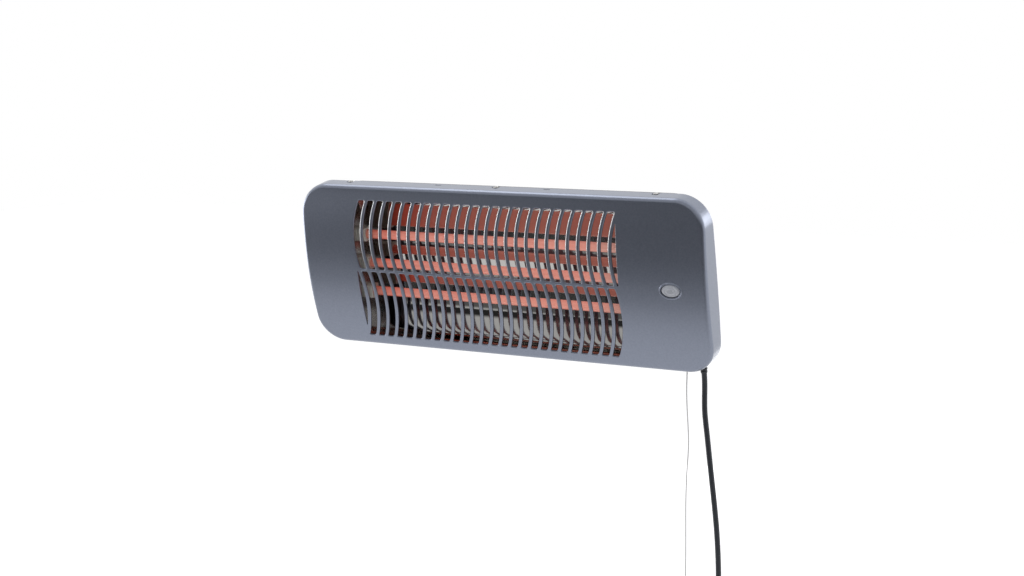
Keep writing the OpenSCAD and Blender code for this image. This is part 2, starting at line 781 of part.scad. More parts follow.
// The tubes' wires end on the switch, and the others join it, the cut-out and the lamp to the block
right_x = hot_x + pin_end + wire_r;
module wiring_right() {
    tab = [plate_x + cutout_t + tab_l, cutout_y, cutout_z];
    block_side = block_x[0] + 9;
    switch_end = [switch_l + 9, switch_front + 6, switch_top];
    lamp_end = [block_x[1] - 5, pan_back - 10, block_z[0]];
    color("whitesmoke") in_heater() {
        for (k = [0:2]) {
            last = switch_end + [6 + 6 * k, 0, 0];
            wire([[right_x, tube_y, tube_z(k) + 3], [right_x, tube_y, tube_z(k) - 4],
                [right_x + 2 + 4 * k, tube_y + 2, tube_z(k) - 9],
                [last[0] - 1, tube_y + (k < 2 ? 8 : 4), switch_top + 10],
                last + [0, 0, end_run], last], [0.2, 1, 0.1]);
        }
        wire([tab + [0, tab_y, 0], tab + [3, tab_y, 0], [block_side - 1, pan_back - 17, cutout_z - 4],
            [block_side, pan_back - 11, cutout_z - 8], [block_side, pan_back - 10, block_z[1] + end_run],
            [block_side, pan_back - 10, block_z[1]]], [0.2, 1, -0.5]);
        wire([tab - [0, tab_y, 0], tab + [3, -tab_y, 0], [block_side, cutout_y - tab_y, 64],
            [block_side + 3, cutout_y - tab_y, 56], [block_side + 4, cutout_y - tab_y, 40],
            [block_side + 3, cutout_y - tab_y, 10], [block_side - 1, cutout_y - tab_y, -20],
            [switch_end[0] + 1, switch_end[1], switch_top + 19], switch_end + [0, 0, end_run], switch_end],
            [0.2, 1, 0.1]);
        wire([[lens_x, lamp_back, lens_z], [lens_x, lamp_back + end_run, lens_z], [lens_x + 1, 44, 8],
            lamp_end - [0, 11, 16], lamp_end - [0, 2, 8], lamp_end - [0, 0, end_run], lamp_end],
            [1, 0.1, 0.1]);
    }
}

// Mains lead inside the pan: from above the gland, under its clamp, to the terminal block
bush_flange = 2;
bush_bore = 6.9;
relief_root_r = 6;
relief_end_r = 4.3;
gland_point = [gland_x, gland_y, -pan_half_h - bush_flange / 2];
inner_r = lead_d / 2;
clamp_y = pan_back - 9;
clamp_z = gland_point[2] + 59;
inner_end = [block_poles[1] + 6, pan_back - 12, block_z[0]];
inner_route = [gland_point + [0, 0, relief_root_r + seat_gap], gland_point + [0, 0, 19],
    gland_point + [0, 2, 29], gland_point + [0, 8, 41], [gland_x, clamp_y, clamp_z - 6],
    [gland_x, clamp_y, clamp_z + 6], [gland_x - 2, clamp_y - 1, clamp_z + 22],
    [gland_x - 8, clamp_y - 2, clamp_z + 42], inner_end + [2, 0, -20], inner_end - [0, 0, 6], inner_end];
module inner_lead() {
    color(dark) in_heater() swept(inner_route, inner_r, 10, [0.3, 1, 0.2]);
}
module cord_clamp() {
    half = inner_r + 5;
    color(ceramic) in_heater() difference() {
        box(gland_x - half, gland_x + half, clamp_y - inner_r - 2.4, pan_back - pan_sheet, clamp_z - 4,
            clamp_z + 4);
        box(gland_x - inner_r - seat_gap, gland_x + inner_r + seat_gap, clamp_y - inner_r - seat_gap,
            pan_back, clamp_z - 5, clamp_z + 5);
    }
}

// Gland: a bush in the pan's floor, in which the root of the strain relief can swing
module gland_bush() {
    color(dark) in_heater() difference() {
        union() {
            rod_z(-pan_half_h - bush_flange, -pan_half_h, gland_x, gland_y, bush_r + 2);
            rod_z(-pan_half_h, -pan_half_h + pan_sheet + 2, gland_x, gland_y, bush_r - slide_gap);
        }
        rod_z(-pan_half_h - 2 * bush_flange, -pan_half_h + pan_sheet + 3, gland_x, gland_y, bush_bore);
    }
}
module strain_relief() {
    color(dark) in_heater() translate(gland_point) {
        sphere(r = relief_root_r);
        translate([0, 0, -relief_length]) rotate_extrude()
            polygon([[0, 0], [relief_end_r, 0], [relief_root_r - 0.6, relief_length - 4],
                [relief_root_r - 0.6, relief_length], [0, relief_length]]);
    }
}

// The lead's route from the strain relief down to its coil
relief_end = to_row(gland_point - [0, 0, relief_length]);
relief_run = unit(relief_end - to_row(gland_point));
coil_step = lead_d + wind_gap;
coil_out = coil_r + coil_turns * coil_step;
coil_y = relief_end[1] + 4.1;
coil_z = relief_end[2] - 362;
coil_side = gland_x + 23;
lead_hang = [[-0.2, -0.9, -20], [-0.4, -0.2, -35], [0, 0, -50], [1.6, 0, -65], [3.6, 0, -80], [5.6, 0, -96],
    [7.6, 0, -112], [9.7, 0, -128], [12, 0, -146], [14.3, 0, -164], [16.6, 0, -183], [18.6, 0, -202],
    [20.2, 0, -222], [21.4, 0, -242], [22.2, 0, -263], [22.7, 0, -284], [23, 0, -306], [23, 0, -330]];
lead_route = concat([relief_end, relief_end + lead_d * relief_run],
    [for (p = lead_hang) [gland_x + p[0], coil_y + p[1], relief_end[2] + p[2]]],
    [[coil_side, coil_y, coil_z + lead_d]]);
module power_cord() {
    color([0.12, 0.13, 0.16]) swept(lead_route, lead_d / 2, 10);
}

// Spare lead: in along a spiral, over to the front layer in half a turn, and out again
coil_rings = 24;
coil_n = 2 * coil_turns * coil_rings;
function coil_t(i) = i / coil_rings - coil_turns;
function coil_climb(t) = min(1, max(0, 0.5 + 2 * t));
function coil_point(i) =
    let (t = coil_t(i), r = coil_r + coil_step * abs(t))
    [coil_side - coil_out + r * cos(360 * t), coil_y - coil_step * coil_climb(t), coil_z - r * sin(360 * t)];
coil_route = [for (i = [-1:coil_n + 1])
    i < 0 ? coil_point(0) + [0, 0, lead_d] :
    i > coil_n ? coil_point(coil_n) - [0, 0, lead_d] : coil_point(i)];
coil_space = min([for (i = [0:coil_n - 1], j = [i + coil_rings / 2:coil_n])
    norm(coil_point(i) - coil_point(min(j, coil_n)))]);
module cord_coil() {
    color([0.12, 0.13, 0.16]) swept(coil_route, lead_d / 2, 6);
}

tie_w = 9;
tie_t = 1.2;
module cord_tie() {
    mid_x = coil_side - coil_out;
    inner = coil_z + coil_r - lead_d / 2 - seat_gap;
    outer = coil_z + coil_out + lead_d / 2 + seat_gap;
    front = coil_y - coil_step - lead_d / 2 - seat_gap;
    back = coil_y + lead_d / 2 + seat_gap;
    color(dark) difference() {
        box(mid_x - tie_w / 2, mid_x + tie_w / 2, front - tie_t, back + tie_t, inner - tie_t, outer + tie_t);
        box(mid_x - tie_w, mid_x + tie_w, front, back, inner, outer);
    }
}

tail_length = 30;
tail_y = coil_y - coil_step;
tail_top = coil_z - lead_d;
module cord_tail() {
    color([0.12, 0.13, 0.16]) swept([[coil_side, tail_y, tail_top], [coil_side, tail_y, tail_top - tail_length / 2],
        [coil_side, tail_y, tail_top - tail_length]], lead_d / 2, 10);
}

plug_r = 18.5;
plug_z = tail_top - tail_length;
pin_pitch = 19;
plug_face = 62;
module plug() {
    color([0.11, 0.12, 0.14]) translate([coil_side, tail_y, plug_z]) difference() {
        rotate_extrude() polygon([[0, 0], [4.4, 0], [6.4, -22], [11, -27], [plug_r - 1, -38],
            [plug_r, -41], [plug_r, -plug_face + 1], [plug_r - 1, -plug_face], [0, -plug_face]]);
        for (side = [-1, 1]) {
            rod_z(-plug_face - over, -plug_face + 12, side * pin_pitch / 2, 0, 2.4 + slide_gap);
            box(-3, 3, side > 0 ? plug_r - 2 : -plug_r - over, side > 0 ? plug_r + over : 2 - plug_r,
                -plug_face - over, -plug_face + 18);
        }
    }
}
module plug_pins() {
    color(bright) translate([coil_side, tail_y, plug_z]) {
        for (side = [-1, 1]) {
            rod_z(-plug_face - 19, -plug_face + 12, side * pin_pitch / 2, 0, 2.4);
            box(-2, 2, side > 0 ? plug_r - 2 : 1.2 - plug_r, side > 0 ? plug_r - 1.2 : 2 - plug_r,
                -plug_face + 1, -plug_face + 18);
        }
    }
}

// Pull cord: it hangs from the bead and may swing about the bead's middle
bead = to_row([pull_x, pull_y, bead_z]);
pull_start = bead - [0, 0, bead_r + seat_gap];
pull_hang = [[-0.2, -24], [-0.4, -40], [0.2, -58], [1.4, -76], [2.6, -94], [3.2, -112], [2.4, -130],
    [1.4, -148], [0.8, -168], [0.6, -190], [0.9, -214], [1.3, -240], [1.5, -268]];
knob_place = bead + [1.5, 0, -284];
pull_route = concat([pull_start, pull_start - [0, 0, 8]],
    [for (p = pull_hang) bead + [p[0], 0, p[1]]], [knob_place]);
module pull_cord() {
    color("white") swept(pull_route, pull_d / 2, 8);
}
pull_knob_r = 5.5;
pull_knob_h = 24;
module pull_knob() {
    color([0.93, 0.93, 0.9]) translate(knob_place) rotate_extrude()
        polygon([[0, 0], [1.8, 0], [2.6, -2], [3.4, -8], [4.6, -14], [pull_knob_r, -20],
            [pull_knob_r, -pull_knob_h + 1.4], [pull_knob_r - 1.4, -pull_knob_h], [0, -pull_knob_h]]);
}

// ---- Brackets and tilt axis ----

ear_in = bracket_w / 2 - bracket_sheet;
washer_t = 1;
washer_rim = 5;
tilt_out = ear_in - washer_t - 2 * washer_gap;
tilt_in = tilt_out - bracket_sheet;
bolt_head_t = 4;
bolt_head_r = 5;
tilt_ear_r = 12;
knob_cap = 3;
lobes = 6;
lobe_r = 4;

module wall_bracket() {
    color(dark) difference() {
        union() {
            box(-bracket_w / 2, bracket_w / 2, -bracket_sheet, 0, -bracket_h / 2, bracket_h / 2);
            for (side = [0, 1])
                mirror([side, 0, 0]) along_x(ear_in, bracket_w / 2) {
                    polygon([[0, -bracket_h / 2 + 2], [0, bracket_h / 2 - 2],
                        [-wall_gap + 2, ear_r], [-wall_gap + 2, -ear_r]]);
                    translate([-wall_gap, 0]) circle(r = ear_r);
                    translate([-wall_gap, -ear_r]) square([3, 2 * ear_r]);
                }
        }
        rod_x(-bracket_w, bracket_w, -wall_gap, 0, bolt_d / 2 + slide_gap);
        for (x = [-1, 1] * wall_hole_x / 2, z = [-1, 1] * wall_hole_z / 2)
            rod_y(-bracket_sheet - over, over, x, z, wall_hole_d / 2);
    }
}

plate_h = 44;
plate_screw_x = 72;
plate_screw_z = 14;
plate_screw_r = 2;
plate_screw_rim = 1.8;
plate_screw_head = 2.4;
plate_screw_reach = 7;
module tilt_bracket() {
    color(dark) in_heater() difference() {
        union() {
            box(-tilt_out, tilt_out, pan_back, pan_back + bracket_sheet, -plate_h / 2, plate_h / 2);
            for (side = [0, 1])
                mirror([side, 0, 0]) along_x(tilt_in, tilt_out) {
                    polygon([[pan_back, -plate_h / 2 + 2], [pan_back, plate_h / 2 - 2],
                        [pivot_y, tilt_ear_r], [pivot_y, -tilt_ear_r]]);
                    translate([pivot_y, 0]) circle(r = tilt_ear_r);
                }
        }
        rod_x(-bracket_w, bracket_w, pivot_y, 0, bolt_d / 2 + slide_gap);
        for (x = [-1, 1] * plate_screw_x, z = [-1, 1] * plate_screw_z)
            rod_y(pan_back - over, pan_back + bracket_sheet + over, x, z, plate_screw_r + slide_gap);
    }
}

module bracket_screws() {
    top = pan_back + bracket_sheet;
    color(bright) in_heater()
        for (x = [-1, 1] * plate_screw_x, z = [-1, 1] * plate_screw_z) {
            rod_y(top, top + plate_screw_head, x, z, plate_screw_r + plate_screw_rim);
            rod_y(pan_back - plate_screw_reach, top, x, z, plate_screw_r);
        }
}

module pivot_bolts() {
    color(bright)
        for (side = [0, 1])
            mirror([side, 0, 0]) {
                rod_x(tilt_in - washer_gap - bolt_head_t, tilt_in - washer_gap, -wall_gap, 0, bolt_head_r);
                rod_x(tilt_in - washer_gap, bracket_w / 2 + knob_t - knob_cap - over, -wall_gap, 0,
                    bolt_d / 2);
            }
}

module pivot_washers() {
    color([0.6, 0.2, 0.15])
        for (side = [0, 1])
            mirror([side, 0, 0]) difference() {
                rod_x(tilt_out + washer_gap, ear_in - washer_gap, -wall_gap, 0, bolt_d / 2 + washer_rim);
                rod_x(tilt_out - over, ear_in + over, -wall_gap, 0, bolt_d / 2 + slide_gap);
            }
}

module knob() {
    start = bracket_w / 2 + seat_gap;
    color(dark) difference() {
        union() {
            rod_x(start, start + 4, -wall_gap, 0, bolt_d / 2 + 4);
            rod_x(start + 3, start + knob_t, -wall_gap, 0, knob_d / 2);
        }
        rod_x(start - over, start + knob_t - knob_cap, -wall_gap, 0, bolt_d / 2 + slide_gap);
        for (k = [0:lobes - 1])
            rod_x(start + 2, start + knob_t + over, -wall_gap + (knob_d / 2 + 1.5) * cos(360 * k / lobes),
                (knob_d / 2 + 1.5) * sin(360 * k / lobes), lobe_r);
    }
}
module knob_right() { knob(); }
module knob_left() { mirror([1, 0, 0]) knob(); }

echo(str("free lead from the strain relief to the plug, mm: ",
    route_length(lead_route) + route_length(coil_route) + tail_length));
echo(str("least gap between the turns of the coil, mm: ", coil_space - lead_d));
echo(str("pull cord, mm: ", route_length(pull_route)));
echo(str("tilt axis, gland, bead: ", [0, -wall_gap, 0], to_row(gland_point), bead));

wall_bracket();
pivot_bolts();
pivot_washers();
knob_left();
knob_right();
tilt_bracket();
bracket_screws();
rear_pan();
cover_screws();
front_cover();
reflector();
end_plate_left();
end_plate_right();
quartz_tube_top();
quartz_tube_middle();
quartz_tube_bottom();
element_top();
element_middle();
element_bottom();
caps_left();
caps_right();
terminal_pins();
pilot_bezel();
pilot_lens();
pilot_lamp();
pull_switch();
switch_lever();
switch_spring();
pull_rod();
rod_guide();
pull_cord();
pull_knob();
terminal_block();
terminal_screws();
thermal_cutout();
earth_stud();
cord_clamp();
inner_lead();
wiring_left();
wiring_right();
gland_bush();
strain_relief();
power_cord();
cord_coil();
cord_tie();
cord_tail();
plug();
plug_pins();
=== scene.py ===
"""Looks of a wall-mounted electric bar heater, in metres, in the part's own frame.

The pieces that tilt are modelled upright, with the heater's face toward -Y, and are then tilted together
as the heater hangs on its wall bracket.
"""
import math

import bmesh
import bpy
from mathutils import Matrix, Vector


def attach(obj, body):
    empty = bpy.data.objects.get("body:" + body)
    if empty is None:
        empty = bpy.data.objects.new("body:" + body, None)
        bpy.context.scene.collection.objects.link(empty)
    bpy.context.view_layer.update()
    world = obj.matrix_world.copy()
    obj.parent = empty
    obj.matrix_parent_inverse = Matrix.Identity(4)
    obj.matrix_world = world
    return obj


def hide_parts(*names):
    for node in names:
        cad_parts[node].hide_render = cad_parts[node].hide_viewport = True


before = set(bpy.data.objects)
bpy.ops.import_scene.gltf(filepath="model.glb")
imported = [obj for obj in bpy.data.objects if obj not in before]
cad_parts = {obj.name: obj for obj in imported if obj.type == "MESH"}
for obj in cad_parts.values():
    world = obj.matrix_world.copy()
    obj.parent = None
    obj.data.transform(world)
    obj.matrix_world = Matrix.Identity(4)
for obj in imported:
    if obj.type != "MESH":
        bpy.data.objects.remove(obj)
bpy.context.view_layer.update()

# Places nearer than NEAR are taken as one place, and verts nearer than DOUBLE are merged. Cutters reach
# past the piece by PAST, and pieces that lie close without a fit are SEAT_GAP apart
NEAR, DOUBLE = 1e-5, 1e-6
PAST, SEAT_GAP = 0.001, 0.0003

# Tilt of the heater on its bracket
TILT = math.radians(12.3)
PIVOT_Y = 0.097
WALL_GAP = 0.038
TO_WALL = (Matrix.Translation((0, -WALL_GAP, 0)) @ Matrix.Rotation(TILT, 4, "X")
           @ Matrix.Translation((0, -PIVOT_Y, 0)))

# Front cover
SHEET = 0.001
COVER_W, COVER_H, COVER_DEPTH = 0.583, 0.223, 0.034
FACE_R = 0.555
BEND = 0.0052
CORNER_TOP, CORNER_BOTTOM = 0.039, 0.037
SIDE_BULGE = 0.0016

# Grille: each bar is an arc above the rib and the same arc turned round below it. The bars are thicker than
# the sheet by BAR_EXTRA, and the slot at either end of the grille is shorter and has sharper edges
BARS = 26
BAR_PITCH, BAR_W = 0.0145, 0.005
BAR_R, BAR_CREST = 0.140, 0.038
BAR_EXTRA, BAR_EDGE = 0.0012, 0.0016
RIB_H, SLOT_H, SLOT_CORNER = 0.004, 0.0925, 0.0019
END_SLOT_TOP, END_SLOT_CORNER, END_SLOT_EDGE = 0.080, 0.0004, 0.0004
GRILLE_X, GRILLE_Z = -0.0175, -0.002
GRILLE_HALF_W = 0.192
FACE_MARGIN, EDGE_MARGIN = 0.004, 0.003
# The painted highlight on the upper bars' left edges grows from nothing at the rib to full over this height
HIGHLIGHT_FADE = 0.045

# Screws in the cover's rim, with a notch over each, and the clip slots between them
SCREW_X, SCREW_Y = 0.221, 0.0295
NOTCH_W, NOTCH_Y, NOTCH_CORNER = 0.009, 0.0258, 0.0012
CLIP_X, CLIP_W, CLIP_Y = (-0.085, 0.073), 0.009, 0.0279

# Pilot lens
LENS_X, LENS_Z = 0.2435, -0.0017
LENS_W, LENS_H = 0.024, 0.0156
PILOT_HOLE_R = 0.0138

# Hot side
HOT_X = -0.015
PLATE_IN = 0.214
TUBE_R, TUBE_HALF, TUBE_WALL, TUBE_RIM = 0.006, 0.202, 0.001, 0.0004
TUBE_Y, TUBE_PITCH = 0.028, 0.040
ELEMENT_HALF, ELEMENT_R = 0.181, 0.003
ELEMENT_WIRE_R, ELEMENT_PITCH = 0.0004, 0.0026
CAP_IN, CAP_OUT = 0.188, 0.221
CAP_H, CAP_DEPTH, CAP_CORNER = 0.018, 0.016, 0.0022
GROOVE_STEP, GROOVE_W, GROOVE_DEPTH = 0.006, 0.001, 0.0005
CAP_BORE_R, PIN_BORE_R = TUBE_R + 0.00005, 0.00155
REFLECTOR_Y, REFLECTOR_R, REFLECTOR_FLAT, REFLECTOR_HALF_H = 0.057, 0.066, 0.050, 0.097
REFLECTOR_SHEET = 0.0006
LIP_Y = 0.013

# Rear pan
PAN_HALF_W, PAN_HALF_H = 0.270, 0.102
PAN_BACK, PAN_SLOPE_Y, PAN_SLOPE_H = 0.080, 0.068, 0.022
PAN_CORNER_R, PAN_BEND = 0.043, 0.0022
FLANGE_HALF_W, FLANGE_HALF_H = COVER_W / 2 - 0.0029, COVER_H / 2 - 0.0013
LUG_HALF_W, LUG_FRONT, LUG_CORNER = 0.007, SCREW_Y - 0.006, 0.002
VENTS, VENT_L, VENT_W = 14, 0.022, 0.003
FLOOR_VENTS_Y = (0.046, 0.055)
BACK_VENTS_Z, BACK_VENTS_APART = 0.058, 0.004
BRACKET_HALF_W = 0.100
GLAND_HOLE_R, GUIDE_HOLE_R = 0.008, 0.004
THROUGH_FLOOR = (-0.11, -0.09)

# Cords
PULL_X, PULL_Y = 0.235, 0.055
GLAND_X, GLAND_Y = 0.255, 0.058
LEAD_D, PULL_D = 0.007, 0.0016
RELIEF_LENGTH = 0.026
GLAND = Vector((GLAND_X, GLAND_Y, -PAN_HALF_H - 0.001))
RELIEF_END = TO_WALL @ (GLAND - Vector((0, 0, RELIEF_LENGTH)))
RELIEF_RUN = (RELIEF_END - TO_WALL @ GLAND).normalized()
BEAD = TO_WALL @ Vector((PULL_X, PULL_Y, -0.1099))


# ---- Camera and cords ----

def camera():
    """Camera of the photo, to the right of the heater and a little above it."""
    around, above = math.radians(28.63), math.radians(7.61)
    back = Vector((math.sin(around) * math.cos(above), -math.cos(around) * math.cos(above),
                   math.sin(above)))
    data = bpy.data.cameras.new("photo_camera")
    data.lens = 59.77
    data.sensor_width = 36.0
    cam = bpy.data.objects.new("photo_camera", data)
    cam.location = (1.0500, -2.0082, 0.2535)
    cam.rotation_euler = back.to_track_quat("Z", "Y").to_euler()
    bpy.context.scene.collection.objects.link(cam)
    bpy.context.scene.camera = cam


# The lead's route below its strain relief, then its coil: some turns inward, and as many outward in front
COIL_Y = RELIEF_END.y + 0.0041
COIL_Z = RELIEF_END.z - 0.362
COIL_SIDE = GLAND_X + 0.023
COIL_TURNS, COIL_RINGS = 3, 24
COIL_R, COIL_STEP = 0.026, 0.0075
COIL_X = COIL_SIDE - COIL_R - COIL_TURNS * COIL_STEP
LEAD_HANG = (
    (-0.0002, -0.0009, -0.020), (-0.0004, -0.0002, -0.035), (0, 0, -0.050), (0.0016, 0, -0.065),
    (0.0036, 0, -0.080), (0.0056, 0, -0.096), (0.0076, 0, -0.112), (0.0097, 0, -0.128), (0.012, 0, -0.146),
    (0.0143, 0, -0.164), (0.0166, 0, -0.183), (0.0186, 0, -0.202), (0.0202, 0, -0.222),
    (0.0214, 0, -0.242), (0.0222, 0, -0.263), (0.0227, 0, -0.284), (0.023, 0, -0.306), (0.023, 0, -0.330))
TAIL_LENGTH = 0.030
PLUG_TOP = Vector((COIL_SIDE, COIL_Y - COIL_STEP, COIL_Z - LEAD_D - TAIL_LENGTH))

# The pull cord's route below its bead, to the top of its knob
PULL_HANG = ((-0.0002, -0.024), (-0.0004, -0.040), (0.0002, -0.058), (0.0014, -0.076), (0.0026, -0.094),
             (0.0032, -0.112), (0.0024, -0.130), (0.0014, -0.148), (0.0008, -0.168), (0.0006, -0.190),
             (0.0009, -0.214), (0.0013, -0.240), (0.0015, -0.268))
KNOB_PLACE = BEAD + Vector((0.0015, 0, -0.284))
BEAD_R = 0.0024


def lead_route():
    """Down from the strain relief, in along a spiral, over to the front layer and out again."""
    points = [RELIEF_END, RELIEF_END + LEAD_D * RELIEF_RUN]
    points += [Vector((GLAND_X + x, COIL_Y + y, RELIEF_END.z + z)) for x, y, z in LEAD_HANG]
    for i in range(2 * COIL_TURNS * COIL_RINGS + 1):
        t = i / COIL_RINGS - COIL_TURNS
        r = COIL_R + COIL_STEP * abs(t)
        climb = min(1, max(0, 0.5 + 2 * t))
        points.append(Vector((COIL_X + r * math.cos(math.tau * t), COIL_Y - COIL_STEP * climb,
                              COIL_Z - r * math.sin(math.tau * t))))
    points.append(PLUG_TOP + Vector((0, 0, TAIL_LENGTH / 2)))
    points.append(PLUG_TOP)
    return points


def pull_route():
    """Straight down from the bead, then in a slight wave to the knob."""
    start = BEAD - Vector((0, 0, BEAD_R + SEAT_GAP))
    points = [start, start - Vector((0, 0, 0.008))]
    points += [BEAD + Vector((x, 0, z)) for x, z in PULL_HANG]
    return points + [KNOB_PLACE]


def cord_curve(name, points, diameter):
    """One smooth round cord through the points of its route."""
    curve = bpy.data.curves.new(name, "CURVE")
    curve.dimensions = "3D"
    curve.bevel_depth = diameter / 2
    curve.bevel_resolution = 5
    curve.resolution_u = 4
    curve.use_fill_caps = True
    line = curve.splines.new("BEZIER")
    line.bezier_points.add(len(points) - 1)
    for knot, place in zip(line.bezier_points, points):
        knot.co = place
        knot.handle_left_type = knot.handle_right_type = "AUTO"
    obj = bpy.data.objects.new(name, curve)
    bpy.context.scene.collection.objects.link(obj)
    return obj


# ---- Modelling ----

def fresh(name, kind, **how):
    """A new primitive, alone in the selection, with its size and place in its mesh."""
    bpy.ops.object.select_all(action="DESELECT")
    getattr(bpy.ops.mesh, "primitive_" + kind + "_add")(**how)
    obj = bpy.context.object
    obj.name = obj.data.name = name
    bpy.ops.object.transform_apply(location=True, rotation=True, scale=True)
    return obj


def block(name, x, y, z):
    """A block between two places on each axis, as a start for a piece."""
    low, high = Vector((x[0], y[0], z[0])), Vector((x[1], y[1], z[1]))
    return fresh(name, "cube", size=1, location=(low + high) / 2, scale=high - low)


def only(obj):
    """Selects the object alone."""
    bpy.ops.object.select_all(action="DESELECT")
    obj.select_set(True)
    bpy.context.view_layer.objects.active = obj


def edit(obj):
    """Opens the object alone for edit."""
    only(obj)
    bpy.ops.object.mode_set(mode="EDIT")


def leave():
    """Closes what is open for edit."""
    bpy.ops.object.mode_set(mode="OBJECT")


def pick(obj, kind, test):
    """Selects the faces, edges or verts that pass a test on their place or direction."""
    bpy.ops.mesh.select_mode(type={"faces": "FACE", "edges": "EDGE", "verts": "VERT"}[kind])
    bpy.ops.mesh.select_all(action="DESELECT")
    mesh = bmesh.from_edit_mesh(obj.data)
    for part in getattr(mesh, kind):
        if test(part):
            part.select_set(True)
    mesh.select_flush_mode()
    bmesh.update_edit_mesh(obj.data)


def middle(edge):
    return (edge.verts[0].co + edge.verts[1].co) / 2


def runs_along(edge, axis):
    run = edge.verts[1].co - edge.verts[0].co
    return abs(run[axis]) > 0.999 * run.length


def dihedral(edge):
    """Angle between the two faces of an edge, in degrees."""
    if len(edge.link_faces) != 2:
        return 0
    a, b = (face.normal for face in edge.link_faces)
    return math.degrees(a.angle(b, 0))


def slice_at(axis, places):
    """Cuts rows into everything that is selected for edit."""
    for place in places:
        point, normal = Vector((0, 0, 0)), Vector((0, 0, 0))
        point[axis] = place
        normal[axis] = 1
        bpy.ops.mesh.select_all(action="SELECT")
        bpy.ops.mesh.bisect(plane_co=point, plane_no=normal)


def apply_modifier(obj, kind, **settings):
    only(obj)
    modifier = obj.modifiers.new(kind.lower(), kind)
    for name, value in settings.items():
        setattr(modifier, name, value)
    bpy.ops.object.modifier_apply(modifier=modifier.name)


def cut(obj, *cutters):
    """Takes each cutter's volume out of the object, and then the cutter itself away."""
    for cutter in cutters:
        apply_modifier(obj, "BOOLEAN", operation="DIFFERENCE", solver="EXACT", object=cutter)
        bpy.data.objects.remove(cutter, do_unlink=True)


def join(obj, *others):
    """Makes the others part of the object."""
    only(obj)
    for other in others:
        other.select_set(True)
    bpy.ops.object.join()


def round_edges(obj, radius, segments, test):
    """Rounds the edges that pass a test."""
    edit(obj)
    pick(obj, "edges", test)
    bpy.ops.mesh.bevel(offset=radius, segments=segments, affect="EDGES")
    leave()


def soften(obj, width, sharper_than=50):
    """Rounds a little every edge that is sharper than an angle in degrees."""
    apply_modifier(obj, "BEVEL", width=width, segments=2, limit_method="ANGLE",
                   angle_limit=math.radians(sharper_than))


def outward(obj):
    """Merges doubles and turns all faces outward."""
    edit(obj)
    bpy.ops.mesh.select_all(action="SELECT")
    bpy.ops.mesh.remove_doubles(threshold=DOUBLE)
    bpy.ops.mesh.normals_make_consistent(inside=False)
    leave()


def copy_of(obj, name, matrix):
    """A copy with its own mesh, moved by the matrix."""
    twin = obj.copy()
    twin.data = obj.data.copy()
    twin.name = twin.data.name = name
    bpy.context.scene.collection.objects.link(twin)
    twin.data.transform(matrix)
    if matrix.determinant() < 0:
        twin.data.flip_normals()
    return twin


def drawn(name, points):
    """A chain of edges, extruded from point to point. It is left open for edit."""
    obj = fresh(name, "plane", size=0.001)
    edit(obj)
    bpy.ops.mesh.select_mode(type="VERT")
    bpy.ops.mesh.select_all(action="SELECT")
    bpy.ops.mesh.merge(type="CENTER")
    bpy.ops.transform.translate(value=points[0])
    for a, b in zip(points, points[1:]):
        bpy.ops.mesh.extrude_region_move(TRANSFORM_OT_translate={"value": b - a})
    return obj


def turned(name, profile, axis, place=(0, 0, 0), steps=48):
    """A piece turned on a lathe. Its section is drawn as points (radius, distance along the axis)."""
    across = (axis + 1) % 3
    points = []
    for radius, along in profile:
        point = Vector((0, 0, 0))
        point[across] = radius
        point[axis] = along
        points.append(point)
    obj = drawn(name, points)
    line = Vector((0, 0, 0))
    line[axis] = 1
    bpy.ops.mesh.select_all(action="SELECT")
    bpy.ops.mesh.spin(steps=steps, angle=math.tau, center=(0, 0, 0), axis=line)
    bpy.ops.mesh.select_all(action="SELECT")
    bpy.ops.mesh.remove_doubles(threshold=DOUBLE)
    bpy.ops.mesh.normals_make_consistent(inside=False)
    leave()
    obj.data.transform(Matrix.Translation(place))
    return obj


def drill(name, radius, start, end, axis, place=(0, 0, 0), steps=48):
    """A round cutter from start to end along an axis."""
    return turned(name, [(0, start), (radius, start), (radius, end), (0, end)], axis, place, steps)


def eased(node, width):
    """A copy of a node's solid, with its edges rounded as a real edge is."""
    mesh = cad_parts[node].data.copy()
    name = node + "_eased"
    mesh.name = name
    obj = bpy.data.objects.new(name, mesh)
    bpy.context.scene.collection.objects.link(obj)
    edit(obj)
    bpy.ops.mesh.select_all(action="SELECT")
    bpy.ops.mesh.remove_doubles(threshold=DOUBLE)
    bpy.ops.mesh.dissolve_limited(angle_limit=math.radians(0.5))
    leave()
    soften(obj, width, sharper_than=34)
    return obj


def finish(obj, look_name, body, nodes=(), upright=True, smooth=32):
    """Tilts an upright piece with its heater, gives it its look and lets it ride on its body."""
    only(obj)
    if upright:
        obj.data.transform(TO_WALL)
    if obj.type == "MESH":
        bpy.ops.object.shade_smooth_by_angle(angle=math.radians(smooth))
    obj.data.materials.clear()
    obj.data.materials.append(LOOKS[look_name])
    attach(obj, body)
    if nodes:
        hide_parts(*nodes)
    return obj


# ---- Looks ----

# Every look by its name
LOOKS = {}


def add(tree, kind, inputs=None, **settings):
    """A new node of a tree, with its inputs and settings."""
    node = tree.nodes.new("ShaderNode" + kind)
    for name, value in settings.items():
        setattr(node, name, value)
    for name, value in (inputs or {}).items():
        node.inputs[name].default_value = value
    return node


def new_group(name, inputs, outputs):
    """An empty node group with float inputs and outputs, and its two end nodes."""
    tree = bpy.data.node_groups.new(name, "ShaderNodeTree")
    for socket, value in inputs.items():
        kind = "NodeSocketFloat" if isinstance(value, (int, float)) else "NodeSocketVector"
        tree.interface.new_socket(socket, in_out="INPUT", socket_type=kind).default_value = value
    for socket in outputs:
        tree.interface.new_socket(socket, in_out="OUTPUT", socket_type="NodeSocketFloat")
    return tree, tree.nodes.new("NodeGroupInput"), tree.nodes.new("NodeGroupOutput")


